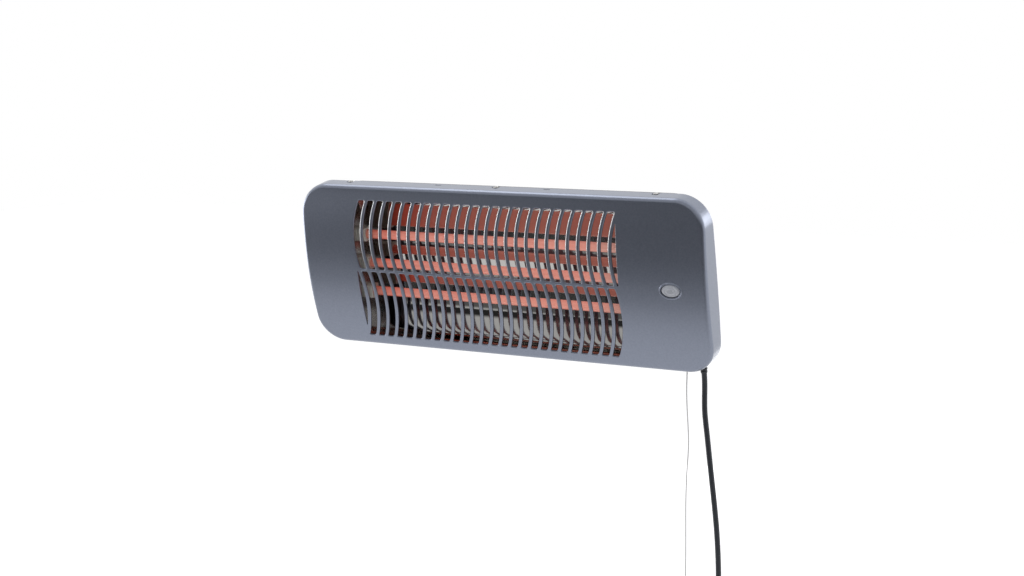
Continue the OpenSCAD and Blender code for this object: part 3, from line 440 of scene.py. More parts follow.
def grain_group():
    """Fine unevenness of a surface: a mask for its colour and roughness, and a height."""
    tree, start, end = new_group("surface_grain", {"Scale": 300.0, "Stretch": (1.0, 1.0, 1.0)},
                                 ("Mask", "Height"))
    place = add(tree, "TexCoord")
    stretched = add(tree, "VectorMath", operation="MULTIPLY")
    coarse = add(tree, "TexNoise", {"Detail": 3.0, "Roughness": 0.6})
    fine = add(tree, "TexNoise", {"Detail": 2.0, "Roughness": 0.5})
    finer = add(tree, "Math", {1: 4.0}, operation="MULTIPLY")
    both = add(tree, "Math", {1: 0.5}, operation="MULTIPLY_ADD")
    link = tree.links.new
    link(place.outputs["Object"], stretched.inputs[0])
    link(start.outputs["Stretch"], stretched.inputs[1])
    for noise in (coarse, fine):
        link(stretched.outputs[0], noise.inputs["Vector"])
    link(start.outputs["Scale"], coarse.inputs["Scale"])
    link(start.outputs["Scale"], finer.inputs[0])
    link(finer.outputs[0], fine.inputs["Scale"])
    link(fine.outputs["Fac"], both.inputs[0])
    link(coarse.outputs["Fac"], both.inputs[2])
    link(coarse.outputs["Fac"], end.inputs["Mask"])
    link(both.outputs[0], end.inputs["Height"])
    return tree


def weave_group():
    """Braid or weave of threads that cross each other on a slant."""
    tree, start, end = new_group("thread_weave", {"Threads": 1500.0}, ("Mask", "Height"))
    place = add(tree, "TexCoord")
    parts = add(tree, "SeparateXYZ")
    link = tree.links.new
    link(place.outputs["Object"], parts.inputs[0])
    across = add(tree, "Math", operation="ADD")
    link(parts.outputs["X"], across.inputs[0])
    link(parts.outputs["Y"], across.inputs[1])
    waves = []
    for sign in (1.0, -1.0):
        slant = add(tree, "Math", {1: sign}, operation="MULTIPLY_ADD")
        turned_by = add(tree, "Math", operation="MULTIPLY")
        wave = add(tree, "Math", operation="SINE")
        link(across.outputs[0], slant.inputs[0])
        link(parts.outputs["Z"], slant.inputs[2])
        link(slant.outputs[0], turned_by.inputs[0])
        link(start.outputs["Threads"], turned_by.inputs[1])
        link(turned_by.outputs[0], wave.inputs[0])
        waves.append(wave)
    crossing = add(tree, "Math", operation="MULTIPLY")
    link(waves[0].outputs[0], crossing.inputs[0])
    link(waves[1].outputs[0], crossing.inputs[1])
    even = add(tree, "Math", {1: 0.5, 2: 0.5}, operation="MULTIPLY_ADD")
    link(crossing.outputs[0], even.inputs[0])
    link(even.outputs[0], end.inputs["Mask"])
    link(even.outputs[0], end.inputs["Height"])
    return tree


def look(name, colour, rough, group, metallic=0.0, spread=0.08, rough_spread=0.05, bump=0.1, depth=0.0001,
         constants=None, **texture):
    """A finish: its colour and roughness vary by the group's mask, and its height makes it uneven."""
    material = bpy.data.materials.new(name)
    material.use_nodes = True
    tree = material.node_tree
    shader = tree.nodes["Principled BSDF"]
    shader.inputs["Metallic"].default_value = metallic
    for socket, value in (constants or {}).items():
        shader.inputs[socket].default_value = value
    texture_node = add(tree, "Group", node_tree=group)
    for socket, value in texture.items():
        texture_node.inputs[socket.capitalize()].default_value = value
    shade = add(tree, "ValToRGB")
    low, high = shade.color_ramp.elements
    low.position, high.position = 0.3, 0.7
    low.color = [c * (1 - spread) for c in colour] + [1]
    high.color = [min(1, c * (1 + spread)) for c in colour] + [1]
    dullness = add(tree, "MapRange", {"From Min": 0.3, "From Max": 0.7, "To Min": rough - rough_spread,
                                      "To Max": rough + rough_spread})
    uneven = add(tree, "Bump", {"Strength": bump, "Distance": depth})
    link = tree.links.new
    link(texture_node.outputs["Mask"], shade.inputs["Fac"])
    link(texture_node.outputs["Mask"], dullness.inputs["Value"])
    link(texture_node.outputs["Height"], uneven.inputs["Height"])
    link(shade.outputs["Color"], shader.inputs["Base Color"])
    link(dullness.outputs["Result"], shader.inputs["Roughness"])
    link(uneven.outputs["Normal"], shader.inputs["Normal"])
    LOOKS[name] = material
    return material


def glowing_quartz(group):
    """Milky quartz that glows along the element inside it and fades where the element ends."""
    material = look("quartz", (0.55, 0.36, 0.27), 0.22, group, spread=0.1, bump=0.05, scale=120.0,
                    stretch=(0.15, 1.0, 1.0), constants={"Emission Strength": 1.0, "Coat Weight": 0.4,
                                                         "Coat Roughness": 0.08, "Alpha": 0.85})
    tree = material.node_tree
    shader = tree.nodes["Principled BSDF"]
    link = tree.links.new
    place = add(tree, "UVMap")
    parts = add(tree, "SeparateXYZ")
    along = add(tree, "ValToRGB")
    glow = along.color_ramp
    glow.elements[0].position, glow.elements[0].color = 0.0, (0.02, 0.005, 0.004, 1)
    glow.elements[1].position, glow.elements[1].color = 1.0, (0.10, 0.05, 0.045, 1)
    for spot, colour in ((0.05, (0.14, 0.013, 0.008, 1)), (0.10, (0.31, 0.050, 0.036, 1)),
                         (0.20, (0.36, 0.104, 0.086, 1)), (0.5, (0.395, 0.134, 0.110, 1)),
                         (0.84, (0.395, 0.138, 0.116, 1)), (0.93, (0.27, 0.128, 0.112, 1))):
        glow.elements.new(spot).color = colour
    link(place.outputs["UV"], parts.inputs[0])
    link(parts.outputs["X"], along.inputs["Fac"])
    link(along.outputs["Color"], shader.inputs["Emission Color"])


def metallic_paint(group):
    """Blue-grey paint of the cover, with a painted highlight in near white where the mesh marks the bars'
    edges.
    """
    material = look("cover_paint", (0.252, 0.278, 0.350), 0.31, group, metallic=0.85, spread=0.07,
                    rough_spread=0.03, bump=0.12, depth=0.00006, scale=420.0,
                    constants={"Coat Weight": 0.35, "Coat Roughness": 0.18, "Coat IOR": 1.5})
    tree = material.node_tree
    shader = tree.nodes["Principled BSDF"]
    link = tree.links.new
    paint = shader.inputs["Base Color"].links[0].from_socket
    painted_highlight = add(tree, "Attribute", attribute_name="painted_highlight")
    # Near-white colour of the painted highlight on the bars' left edges, mixed in by the mesh's mark
    both = add(tree, "Mix", {7: (0.92, 0.93, 0.95, 1)}, data_type="RGBA")
    link(painted_highlight.outputs["Fac"], both.inputs[0])
    link(paint, both.inputs[6])
    link(both.outputs[2], shader.inputs["Base Color"])


def make_looks():
    """Every look of the heater."""
    grain, weave = grain_group(), weave_group()
    metallic_paint(grain)
    look("pan_paint", (0.060, 0.064, 0.070), 0.46, grain, metallic=0.3, bump=0.25, scale=600.0)
    look("bracket_paint", (0.045, 0.048, 0.053), 0.42, grain, metallic=0.3, bump=0.3, scale=700.0)
    look("bright_steel", (0.56, 0.56, 0.55), 0.28, grain, metallic=1.0, spread=0.12, rough_spread=0.08,
         bump=0.08, scale=260.0, stretch=(1.0, 6.0, 6.0))
    look("reflector_metal", (0.50, 0.49, 0.475), 0.055, grain, metallic=1.0, spread=0.06,
         rough_spread=0.02, bump=0.04, depth=0.0002, scale=40.0, stretch=(0.2, 1.0, 1.0))
    look("element_wire", (0.32, 0.10, 0.05), 0.5, grain, metallic=0.6, scale=500.0,
         constants={"Emission Color": (1.0, 0.16, 0.035, 1), "Emission Strength": 1.2})
    look("ceramic", (0.74, 0.72, 0.64), 0.55, grain, spread=0.12, bump=0.3, scale=380.0)
    look("brass", (0.62, 0.42, 0.16), 0.3, grain, metallic=1.0, spread=0.1, bump=0.08, scale=300.0)
    look("lens", (0.50, 0.52, 0.56), 0.2, grain, spread=0.05, bump=0.04, scale=150.0,
         constants={"Coat Weight": 0.6, "Coat Roughness": 0.05, "Specular IOR Level": 0.6})
    look("lamp", (0.72, 0.70, 0.64), 0.3, grain, spread=0.05, scale=200.0)
    look("white_plastic", (0.74, 0.73, 0.69), 0.42, grain, spread=0.04, bump=0.15, scale=500.0)
    look("black_plastic", (0.022, 0.022, 0.024), 0.42, grain, spread=0.15, bump=0.3, scale=650.0)
    look("washer_fibre", (0.30, 0.07, 0.045), 0.7, grain, spread=0.25, bump=0.4, scale=500.0)
    look("lead_rubber", (0.022, 0.026, 0.034), 0.45, grain, spread=0.15, bump=0.2, scale=350.0)
    look("wire_sleeve", (0.66, 0.63, 0.55), 0.75, weave, spread=0.2, bump=0.6, threads=5200.0)
    look("pull_fabric", (0.76, 0.76, 0.74), 0.75, weave, spread=0.15, bump=0.6, threads=6400.0)
    glowing_quartz(grain)


# ---- Cover, grille and pilot lens ----

def face_sag(z):
    """How far the curved face lies behind its front-most line."""
    return FACE_R - math.sqrt(FACE_R ** 2 - z ** 2)


def crest_x(k):
    """Crest of a bar in the grille's own place."""
    sag = BAR_R - math.sqrt(BAR_R ** 2 - BAR_CREST ** 2)
    slant = BAR_CREST / (BAR_R - sag)
    return (k - (BARS - 1) / 2) * BAR_PITCH + (BAR_PITCH - 2 * sag - slant * RIB_H) / 2


def slot_block(name, k, top, corner):
    """Block that cuts slot k of the upper row, between two bars or between a bar and the grille's end."""
    low, rows = RIB_H / 2, 18
    slot = block(name, (-1, 1), (-0.004, 0.016), (low, top))
    edit(slot)
    slice_at(2, [low + (top - low) * i / rows for i in range(1, rows)])
    leave()
    for vert in slot.data.vertices:
        away = vert.co.z - low - BAR_CREST
        left = vert.co.x < 0
        r = BAR_R - BAR_W / 2 if left else BAR_R + BAR_W / 2
        x = crest_x(k - 1 if left else k) + BAR_R - math.sqrt(r * r - away * away)
        vert.co.x = min(x, GRILLE_HALF_W)
    round_edges(slot, corner, 5, lambda e: runs_along(e, 1)
                and min(abs(middle(e).z - low), abs(middle(e).z - top)) < NEAR)
    return slot


def slot_cutters():
    """Blocks that cut every slot of the grille: one is shaped and copied, and the end one is narrower."""
    slot = slot_block("slots", 0, RIB_H / 2 + SLOT_H, SLOT_CORNER)
    apply_modifier(slot, "ARRAY", count=BARS, use_relative_offset=False, use_constant_offset=True,
                   constant_offset_displace=(BAR_PITCH, 0, 0))
    join(slot, slot_block("slot_end", BARS, END_SLOT_TOP, END_SLOT_CORNER))
    lower = copy_of(slot, "slots_lower", Matrix.Rotation(math.pi, 4, "Y"))
    join(slot, lower)
    slot.data.transform(Matrix.Translation((GRILLE_X, 0, GRILLE_Z)))
    return slot


def in_grille(place, margin):
    """Whether a place on the face lies in the grille or within a margin round it."""
    return (abs(place.x - GRILLE_X) < GRILLE_HALF_W + margin
            and abs(place.z - GRILLE_Z) < RIB_H / 2 + SLOT_H + margin)


def in_end_slot(place):
    """Whether a place on the face lies in the narrow slot at either end of the grille."""
    side = 1 if place.z > GRILLE_Z else -1
    x, z = side * (place.x - GRILLE_X), side * (place.z - GRILLE_Z)
    away = z - RIB_H / 2 - BAR_CREST
    bar = crest_x(BARS - 1) + BAR_R - math.sqrt(BAR_R ** 2 - away ** 2)
    return x > bar and z > 0 and z < END_SLOT_TOP + 0.001


def cover():
    """Pressed steel shell with its curved face, its bends, its slots and the notches of its rim."""
    shell = block("cover_shell", (-COVER_W / 2, COVER_W / 2), (0, COVER_DEPTH), (-COVER_H / 2, COVER_H / 2))
    edit(shell)
    for side, radius in ((1, CORNER_TOP), (-1, CORNER_BOTTOM)):
        pick(shell, "edges", lambda e: runs_along(e, 1) and abs(middle(e).z - side * COVER_H / 2) < NEAR)
        bpy.ops.mesh.bevel(offset=radius, segments=16, affect="EDGES")
    pick(shell, "faces", lambda f: f.normal.y > 0.9)
    bpy.ops.mesh.delete(type="ONLY_FACE")
    pick(shell, "edges", lambda e: dihedral(e) > 50)
    bpy.ops.mesh.bevel(offset=BEND, segments=6, affect="EDGES", clamp_overlap=False)
    rows = 40
    slice_at(2, [COVER_H * (i / rows - 0.5) for i in range(2, rows - 1)])
    beside_grille = GRILLE_HALF_W + 0.006
    slice_at(0, [GRILLE_X - beside_grille, GRILLE_X + beside_grille])
    leave()
    for vert in shell.data.vertices:
        wall = max(0, vert.co.y - BEND) / (COVER_DEPTH - BEND)
        vert.co.y += face_sag(vert.co.z) * (1 - wall)
        vert.co.x *= 1 - 2 * SIDE_BULGE / COVER_W * (2 * vert.co.z / COVER_H) ** 2
    apply_modifier(shell, "SOLIDIFY", thickness=SHEET, offset=-1, use_even_offset=True)
    cutters = [slot_cutters()]
    for x in (-SCREW_X, 0, SCREW_X):
        notch = block("notch", (x - NOTCH_W / 2, x + NOTCH_W / 2), (NOTCH_Y, 0.04), (-COVER_H, COVER_H))
        round_edges(notch, NOTCH_CORNER, 3, lambda e: runs_along(e, 2) and middle(e).y < COVER_DEPTH)
        cutters.append(notch)
    for x in CLIP_X:
        cutters.append(block("clip", (x - CLIP_W / 2, x + CLIP_W / 2), (CLIP_Y, SCREW_Y),
                             (-COVER_H, COVER_H)))
    cutters.append(ovalled(drill("pilot_hole", PILOT_HOLE_R, -0.01, 0.01, 1)))
    cut(shell, *cutters)
    edit(shell)
    bpy.ops.mesh.select_all(action="SELECT")
    bpy.ops.mesh.remove_doubles(threshold=NEAR)
    pick(shell, "faces", lambda f: f.normal.y > 0.8 and in_grille(f.calc_center_median(), FACE_MARGIN))
    bpy.ops.mesh.extrude_region_move(TRANSFORM_OT_translate={"value": (0, BAR_EXTRA, 0)})
    for offset, wanted in ((BAR_EDGE, False), (END_SLOT_EDGE, True)):
        pick(shell, "edges", lambda e: dihedral(e) > 55 and in_grille(middle(e), EDGE_MARGIN)
             and abs(middle(e).y - face_sag(middle(e).z)) < 1e-4 and in_end_slot(middle(e)) == wanted)
        bpy.ops.mesh.bevel(offset=offset, segments=4, affect="EDGES", clamp_overlap=False)
    leave()
    # Painted highlight on the left edges of the upper bars
    mark_painted_highlight(shell)
    finish(shell, "cover_paint", "heater", ("front_cover",), smooth=40)
    apply_modifier(shell, "WEIGHTED_NORMAL", keep_sharp=True)


def mark_painted_highlight(shell):
    """Marks the rounded left edges of the upper bars for a painted highlight, which fades toward the rib.
    """
    painted_highlight = shell.data.attributes.new("painted_highlight", "FLOAT", "FACE")
    for face in shell.data.polygons:
        if in_grille(face.center, FACE_MARGIN) and face.normal.x < -0.1 and -0.99 < face.normal.y < -0.3:
            painted_highlight.data[face.index].value = min(1, max(0, (face.center.z - GRILLE_Z) / HIGHLIGHT_FADE))


def ovalled(obj):
    """Turns a round piece about Y into the lens's oval, with rims of even width, at the lens's place."""
    half_w, half_h = LENS_W / 2, LENS_H / 2
    for vert in obj.data.vertices:
        x, z = vert.co.x, vert.co.z
        r = math.hypot(x, z)
        if r > half_w:
            vert.co.z = z / r * (half_h + r - half_w)
        else:
            vert.co.z = z * half_h / half_w
        vert.co.x += LENS_X
        vert.co.z += LENS_Z
    return obj


def pilot():
    """Oval lens with rings in its face, in an embossed ring."""
    face = [(0, -0.0002), (0.0010, -0.0001), (0.0016, -0.0008), (0.0021, -0.0008), (0.0025, 0.0000),
            (0.0046, -0.0001), (0.0050, -0.0004), (0.0056, -0.0004), (0.0060, -0.0001), (0.0084, 0.0000),
            (0.0088, -0.0003), (0.0094, -0.0003), (0.0098, 0.0000), (0.0108, 0.0001), (0.0117, 0.0004),
            (0.0120, 0.0010), (0.0120, 0.0040), (0.0136, 0.0041), (0.0136, 0.0049), (0, 0.0049)]
    lens = ovalled(turned("pilot_lens_oval", face, 1, steps=64))
    finish(lens, "lens", "heater", ("pilot_lens",), smooth=50)
    ring = [(0.01285, 0.0035), (0.01285, -0.0004), (0.0131, -0.0008), (0.0136, -0.0010), (0.0142, -0.0009),
            (0.0148, -0.0005), (0.0152, 0.0), (0.0137, 0.0002), (0.0137, 0.0035), (0.01285, 0.0035)]
    bezel = ovalled(turned("pilot_bezel_ring", ring, 1, steps=64))
    finish(bezel, "cover_paint", "heater", ("pilot_bezel",), smooth=50)


# ---- Hot side ----

def unroll(obj):
    """A UV map along and round a quartz tube: U from its left end to its right end, V round it."""
    for layer in list(obj.data.uv_layers):
        obj.data.uv_layers.remove(layer)
    uv = obj.data.uv_layers.new(name="UVMap")
    for loop in obj.data.loops:
        x, y, z = obj.data.vertices[loop.vertex_index].co
        uv.data[loop.index].uv = ((x + TUBE_HALF) / (2 * TUBE_HALF), math.atan2(z, -y) / math.tau + 0.5)


def tubes():
    """Three quartz tubes, and the wound element in each."""
    bore, half_wall, edge = TUBE_R - TUBE_WALL, TUBE_R - TUBE_WALL / 2, TUBE_HALF - TUBE_RIM
    tube = turned("tube", [(bore, -edge), (half_wall, -TUBE_HALF), (TUBE_R, -edge), (TUBE_R, edge),
                           (half_wall, TUBE_HALF), (bore, edge), (bore, -edge)], 0, steps=40)
    unroll(tube)
    coil = fresh("coil", "circle", vertices=6, radius=ELEMENT_WIRE_R, location=(0, 0, ELEMENT_R),
                 rotation=(math.pi / 2, 0, 0))
    apply_modifier(coil, "SCREW", axis="X", angle=math.tau, screw_offset=ELEMENT_PITCH, steps=12,
                   render_steps=12, iterations=int(2 * ELEMENT_HALF / ELEMENT_PITCH))
    coil.data.transform(Matrix.Translation((-ELEMENT_HALF, 0, 0)))
    outward(coil)
    for k, name in enumerate(("top", "middle", "bottom")):
        to_place = Matrix.Translation((HOT_X, TUBE_Y, (1 - k) * TUBE_PITCH))
        finish(copy_of(tube, "quartz_" + name, to_place), "quartz", "heater", ("quartz_tube_" + name,))
        finish(copy_of(coil, "wound_element_" + name, to_place), "element_wire", "heater",
               ("element_" + name,))
    bpy.data.objects.remove(tube)
    bpy.data.objects.remove(coil)


def reflector():
    """Polished trough: a flat middle and two curved sides that end in lips."""
    middle_y = REFLECTOR_Y - REFLECTOR_R
    low = math.asin((LIP_Y - middle_y) / REFLECTOR_R)
    steps = 20
    section = []
    for i in range(steps + 1):
        turn = low + (math.pi / 2 - low) * i / steps
        z = REFLECTOR_FLAT + REFLECTOR_R * math.cos(turn)
        section.append((middle_y + REFLECTOR_R * math.sin(turn), min(z, REFLECTOR_HALF_H)))
    section += [(y, -z) for y, z in reversed(section)]
    sheet = drawn("reflector_trough", [Vector((HOT_X - PLATE_IN, y, z)) for y, z in section])
    bpy.ops.mesh.select_all(action="SELECT")
    bpy.ops.mesh.extrude_region_move(TRANSFORM_OT_translate={"value": (2 * PLATE_IN, 0, 0)})
    bpy.ops.mesh.select_all(action="SELECT")
    bpy.ops.mesh.normals_make_consistent(inside=False)
    leave()
    facing = sum(p.normal.y * p.area for p in sheet.data.polygons)
    apply_modifier(sheet, "SOLIDIFY", thickness=REFLECTOR_SHEET, offset=1 if facing > 0 else -1)
    finish(sheet, "reflector_metal", "heater", ("reflector",), smooth=40)
    apply_modifier(sheet, "WEIGHTED_NORMAL", keep_sharp=True)


def caps():
    """Ceramic caps that hold the tubes' ends: one is shaped and copied."""
    cap = block("cap", (CAP_IN, CAP_OUT), (-CAP_DEPTH / 2, CAP_DEPTH / 2), (-CAP_H / 2, CAP_H / 2))
    grooves = [CAP_IN + GROOVE_STEP, CAP_IN + 2 * GROOVE_STEP]
    edit(cap)
    pick(cap, "edges", lambda e: runs_along(e, 0))
    bpy.ops.mesh.bevel(offset=CAP_CORNER, segments=3, affect="EDGES")
    for x in grooves:
        slice_at(0, [x, x + GROOVE_W])
    for x in grooves:
        pick(cap, "faces", lambda f: abs(f.normal.x) < 0.5
             and x - DOUBLE < f.calc_center_median().x < x + GROOVE_W)
        bpy.ops.mesh.extrude_region_shrink_fatten(TRANSFORM_OT_shrink_fatten={"value": -GROOVE_DEPTH})
    leave()
    cut(cap, drill("bore", CAP_BORE_R, CAP_IN - PAST, TUBE_HALF, 0, steps=32),
        drill("pin_bore", PIN_BORE_R, TUBE_HALF - PAST, CAP_OUT + PAST, 0, steps=20))
    soften(cap, 0.0004)
    for side, name in ((-1, "caps_left"), (1, "caps_right")):
        row = [copy_of(cap, name + "_ceramic", Matrix.Translation((HOT_X, TUBE_Y, k * TUBE_PITCH))
                       @ Matrix.Diagonal((side, 1, 1, 1))) for k in (1, 0, -1)]
        join(*row)
        finish(row[0], "ceramic", "heater", (name,))
    bpy.data.objects.remove(cap)


# ---- Rear pan ----

def pan():
    """Folded pan behind the cover, with its flange, its screw lugs and its vents."""
    front = COVER_DEPTH - SHEET
    box = block("pan_box", (-PAN_HALF_W, PAN_HALF_W), (front, PAN_BACK), (-PAN_HALF_H, PAN_HALF_H))
    round_upper_corners(box, PAN_CORNER_R)
    edit(box)
    for side in (-1, 1):
        bpy.ops.mesh.select_all(action="SELECT")
        bpy.ops.mesh.bisect(plane_co=(0, PAN_SLOPE_Y, side * PAN_HALF_H), clear_outer=True, use_fill=True,
                            plane_no=(0, PAN_SLOPE_H, side * (PAN_BACK - PAN_SLOPE_Y)))
    pick(box, "faces", lambda f: f.normal.y < -0.9)
    bpy.ops.mesh.delete(type="ONLY_FACE")
    pick(box, "edges", lambda e: dihedral(e) > 20)
    bpy.ops.mesh.bevel(offset=PAN_BEND, segments=3, affect="EDGES")
    leave()
    apply_modifier(box, "SOLIDIFY", thickness=SHEET, offset=-1, use_even_offset=True)
    flange = block("pan_flange", (-FLANGE_HALF_W, FLANGE_HALF_W), (front, COVER_DEPTH),
                   (-FLANGE_HALF_H, FLANGE_HALF_H))
    round_edges(flange, CORNER_TOP, 12, lambda e: runs_along(e, 1))
    mouth = block("pan_mouth", (-PAN_HALF_W + SHEET, PAN_HALF_W - SHEET), (0.02, 0.05),
                  (-PAN_HALF_H + SHEET, PAN_HALF_H - SHEET))
    round_upper_corners(mouth, PAN_CORNER_R - SHEET)
    cut(flange, mouth)
    lugs = []
    for x in (-SCREW_X, 0, SCREW_X):
        for side in (-1, 1):
            lug = block("lug", (x - LUG_HALF_W, x + LUG_HALF_W), (LUG_FRONT, COVER_DEPTH),
                        sorted((side * FLANGE_HALF_H, side * (FLANGE_HALF_H - SHEET))))
            round_edges(lug, LUG_CORNER, 3, lambda e: runs_along(e, 2) and middle(e).y < SCREW_Y)
            lugs.append(lug)
    cut(box, vent_cutters(), drill("gland_hole", GLAND_HOLE_R, *THROUGH_FLOOR, 2, (GLAND_X, GLAND_Y, 0)),
        drill("guide_hole", GUIDE_HOLE_R, *THROUGH_FLOOR, 2, (PULL_X, PULL_Y, 0)))
    join(box, flange, *lugs)
    box.name = box.data.name = "rear_pan_folded"
    finish(box, "pan_paint", "heater", ("rear_pan",), smooth=35)


def round_upper_corners(obj, radius):
    """Rounds the two upper corners of a block, seen from the front."""
    round_edges(obj, radius, 14, lambda e: runs_along(e, 1) and middle(e).z > 0)


def vent_cutters():
    """Blocks that cut the vents: one long slot with round ends is shaped and copied."""
    pitch = 2 * PLATE_IN / (VENTS - 1)
    slot = block("vents", (-VENT_L / 2, VENT_L / 2), (-VENT_W / 2, VENT_W / 2), (-0.004, 0.004))
    round_edges(slot, VENT_W / 2 * 0.98, 4, lambda e: runs_along(e, 2))
    places = []
    for k in range(VENTS):
        x = HOT_X + (k - (VENTS - 1) / 2) * pitch
        for side in (-1, 1):
            for y in FLOOR_VENTS_Y:
                places.append(Matrix.Translation((x, y, side * PAN_HALF_H)))
            if abs(x) > BRACKET_HALF_W + VENT_L:
                for dz in (-BACK_VENTS_APART, BACK_VENTS_APART):
                    places.append(Matrix.Translation((x, PAN_BACK, side * BACK_VENTS_Z + dz))
                                  @ Matrix.Rotation(math.pi / 2, 4, "X"))
    row = [copy_of(slot, "vent", place) for place in places]
    join(*row)
    bpy.data.objects.remove(slot)
    return row[0]


# ---- Cords and what is on them ----

def lead():
    """Mains lead in one run through its coil, with its strain relief, its tie and its plug."""
    route = lead_route()
    cord = cord_curve("power_lead", route, LEAD_D)
    finish(cord, "lead_rubber", "lead", ("power_cord", "cord_coil", "cord_tail"), upright=False)
    tie = finish(eased("cord_tie", 0.0004), "black_plastic", "lead", ("cord_tie",), upright=False)
    relief = [(0, 0.0055), (0.0030, 0.0050), (0.0048, 0.0036), (0.0058, 0.0012), (0.0059, -0.0010),
              (0.0054, -0.0024), (0.0054, -0.0040)]
    for k in range(5):
        z = -0.0045 - 0.0042 * k
        r = 0.0053 - 0.00018 * k
        relief += [(r, z), (r - 0.0009, z - 0.0006), (r - 0.0009, z - 0.0016), (r - 0.0001, z - 0.0022)]
    relief += [(0.0043, -0.0252), (0.0040, -RELIEF_LENGTH), (0, -RELIEF_LENGTH)]
    finish(turned("strain_relief_ribbed", relief, 2, GLAND, steps=32), "lead_rubber", "lead",
           ("strain_relief",))
    body = plug()


PIN_HOLE_R, PIN_HALF_PITCH = 0.00245, 0.0095
GRIP_GROOVES, GRIP_PITCH = 7, 0.0013


def plug():
    """Moulded round plug with a ribbed boot, a grip and its earth recesses."""
    boot = [(0, 0), (0.0042, 0), (0.0044, -0.0012)]
    for k in range(5):
        z = -0.0022 - 0.0040 * k
        r = 0.0046 + 0.0004 * k
        boot += [(r, z), (r - 0.0008, z - 0.0006), (r - 0.0008, z - 0.0016), (r + 0.0003, z - 0.0022)]
    boot += [(0.0066, -0.0222), (0.0085, -0.0248), (0.0110, -0.0270), (0.0142, -0.0318), (0.0168, -0.0365),
             (0.0178, -0.0384), (0.0184, -0.0402), (0.0185, -0.0415), (0.0185, -0.0450), (0.0182, -0.0453),
             (0.0182, -0.0461), (0.0185, -0.0464), (0.0185, -0.0608), (0.0181, -0.0617), (0.0172, -0.0620),
             (0, -0.0620)]
    body = turned("plug_body", boot, 2, PLUG_TOP, steps=64)
    cutters = []
    for side in (-1, 1):
        cutters.append(drill("pin_hole", PIN_HOLE_R, -0.07, -0.05, 2,
                             PLUG_TOP + Vector((side * PIN_HALF_PITCH, 0, 0)), steps=24))
        recess = block("earth_recess", sorted((side * 0.0165, side * 0.02)), (-0.003, 0.003),
                       (-0.07, -0.044))
        recess.data.transform(Matrix.Translation(PLUG_TOP))
        cutters.append(recess)
    for k in range(GRIP_GROOVES):
        for side in (-1, 1):
            groove = block("grip_groove", (-0.009, 0.009), (-0.0006, 0.0006), (-0.0004, 0.0004))
            groove.data.transform(Matrix.Translation(
                PLUG_TOP + Vector((0, side * (0.0152 - 0.00005 * k), -0.0350 - GRIP_PITCH * k))))
            cutters.append(groove)
    cut(body, *cutters)
    soften(body, 0.0003)
    return finish(body, "black_plastic", "lead", ("plug",), upright=False)


def pull_cord():
    """Braided pull cord and the knob on its end."""
    route = pull_route()
    cord = cord_curve("pull_cord_braided", route, PULL_D)
    finish(cord, "pull_fabric", "pull_cord", ("pull_cord",), upright=False)
    section = [(0, 0), (0.0014, 0), (0.0019, -0.0003), (0.0022, -0.0012), (0.0026, -0.0020),
               (0.0029, -0.0045), (0.0034, -0.0080), (0.0040, -0.0112), (0.0046, -0.0140),
               (0.0048, -0.0146), (0.0047, -0.0151), (0.0050, -0.0157), (0.0053, -0.0180),
               (0.0055, -0.0200), (0.0055, -0.0222), (0.0052, -0.0232), (0.0045, -0.0238),
               (0.0036, -0.0240), (0.0016, -0.0240), (0.0014, -0.0232), (0, -0.0231)]
    knob = turned("pull_knob_bell", section, 2, KNOB_PLACE, steps=40)
    finish(knob, "white_plastic", "pull_cord", ("pull_knob",), upright=False)


# ---- Brackets and small parts ----

# Node, look, body and rounding of the pieces that keep their solid's shape with eased edges
EASED = (
    ("wall_bracket", "bracket_paint", "wall", 0.0006),
    ("tilt_bracket", "bracket_paint", "heater", 0.0006),
    ("knob_left", "black_plastic", "knob_left", 0.0010),
    ("knob_right", "black_plastic", "knob_right", 0.0010),
    ("pivot_bolts", "bright_steel", "wall", 0.0004),
    ("pivot_washers", "washer_fibre", "wall", 0.0002),
    ("bracket_screws", "bright_steel", "heater", 0.0004),
    ("cover_screws", "bright_steel", "heater", 0.0003),
    ("end_plate_left", "bright_steel", "heater", 0.0002),
    ("end_plate_right", "bright_steel", "heater", 0.0002),
    ("pull_switch", "white_plastic", "heater", 0.0005),
    ("switch_lever", "black_plastic", "switch_lever", 0.0004),
    ("terminal_block", "white_plastic", "heater", 0.0004),
    ("thermal_cutout", "black_plastic", "heater", 0.0003),
    ("cord_clamp", "white_plastic", "heater", 0.0006),
    ("gland_bush", "black_plastic", "heater", 0.0004),
    ("rod_guide", "white_plastic", "heater", 0.0003),
    ("earth_stud", "brass", "heater", 0.0003))

# Node and look of the pieces that stay as their solids are
AS_MADE = (
    ("terminal_pins", "bright_steel"), ("pilot_lamp", "lamp"), ("switch_spring", "bright_steel"),
    ("pull_rod", "bright_steel"), ("terminal_screws", "brass"), ("inner_lead", "lead_rubber"),
    ("wiring_left", "wire_sleeve"), ("wiring_right", "wire_sleeve"), ("plug_pins", "bright_steel"))


def small_parts():
    """The brackets, the fasteners and what lies inside the pan."""
    for node, look_name, body, width in EASED:
        finish(eased(node, width), look_name, body, (node,), upright=False, smooth=34)
    for node, look_name in AS_MADE:
        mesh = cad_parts[node].data
        mesh.materials.clear()
        mesh.materials.append(LOOKS[look_name])


# ---- Stage and light ----

FLOOR_Z, FLOOR_SIZE = -0.70, 14

# How bright the floor shows in reflections, by its place in front of the wall: dark far in front, white
# near the wall, with one pale strip between. Far in front it gets pale again toward the left
FLOOR_DARK_Y, FLOOR_WHITE_Y = -3.0, -0.5
FLOOR_LEVELS = ((-1.50, 0.14), (-1.34, 0.05), (-1.24, 0.05), (-1.20, 1.0), (-1.14, 1.0), (-1.11, 0.05),
                (-1.03, 0.06), (-0.95, 0.50), (-0.85, 0.90))
PALE_FROM_Y, PALE_TO_Y = -1.6, -2.4
PALE_FROM_X, PALE_TO_X, PALE_LEVEL = -1.3, -3.0, 0.6


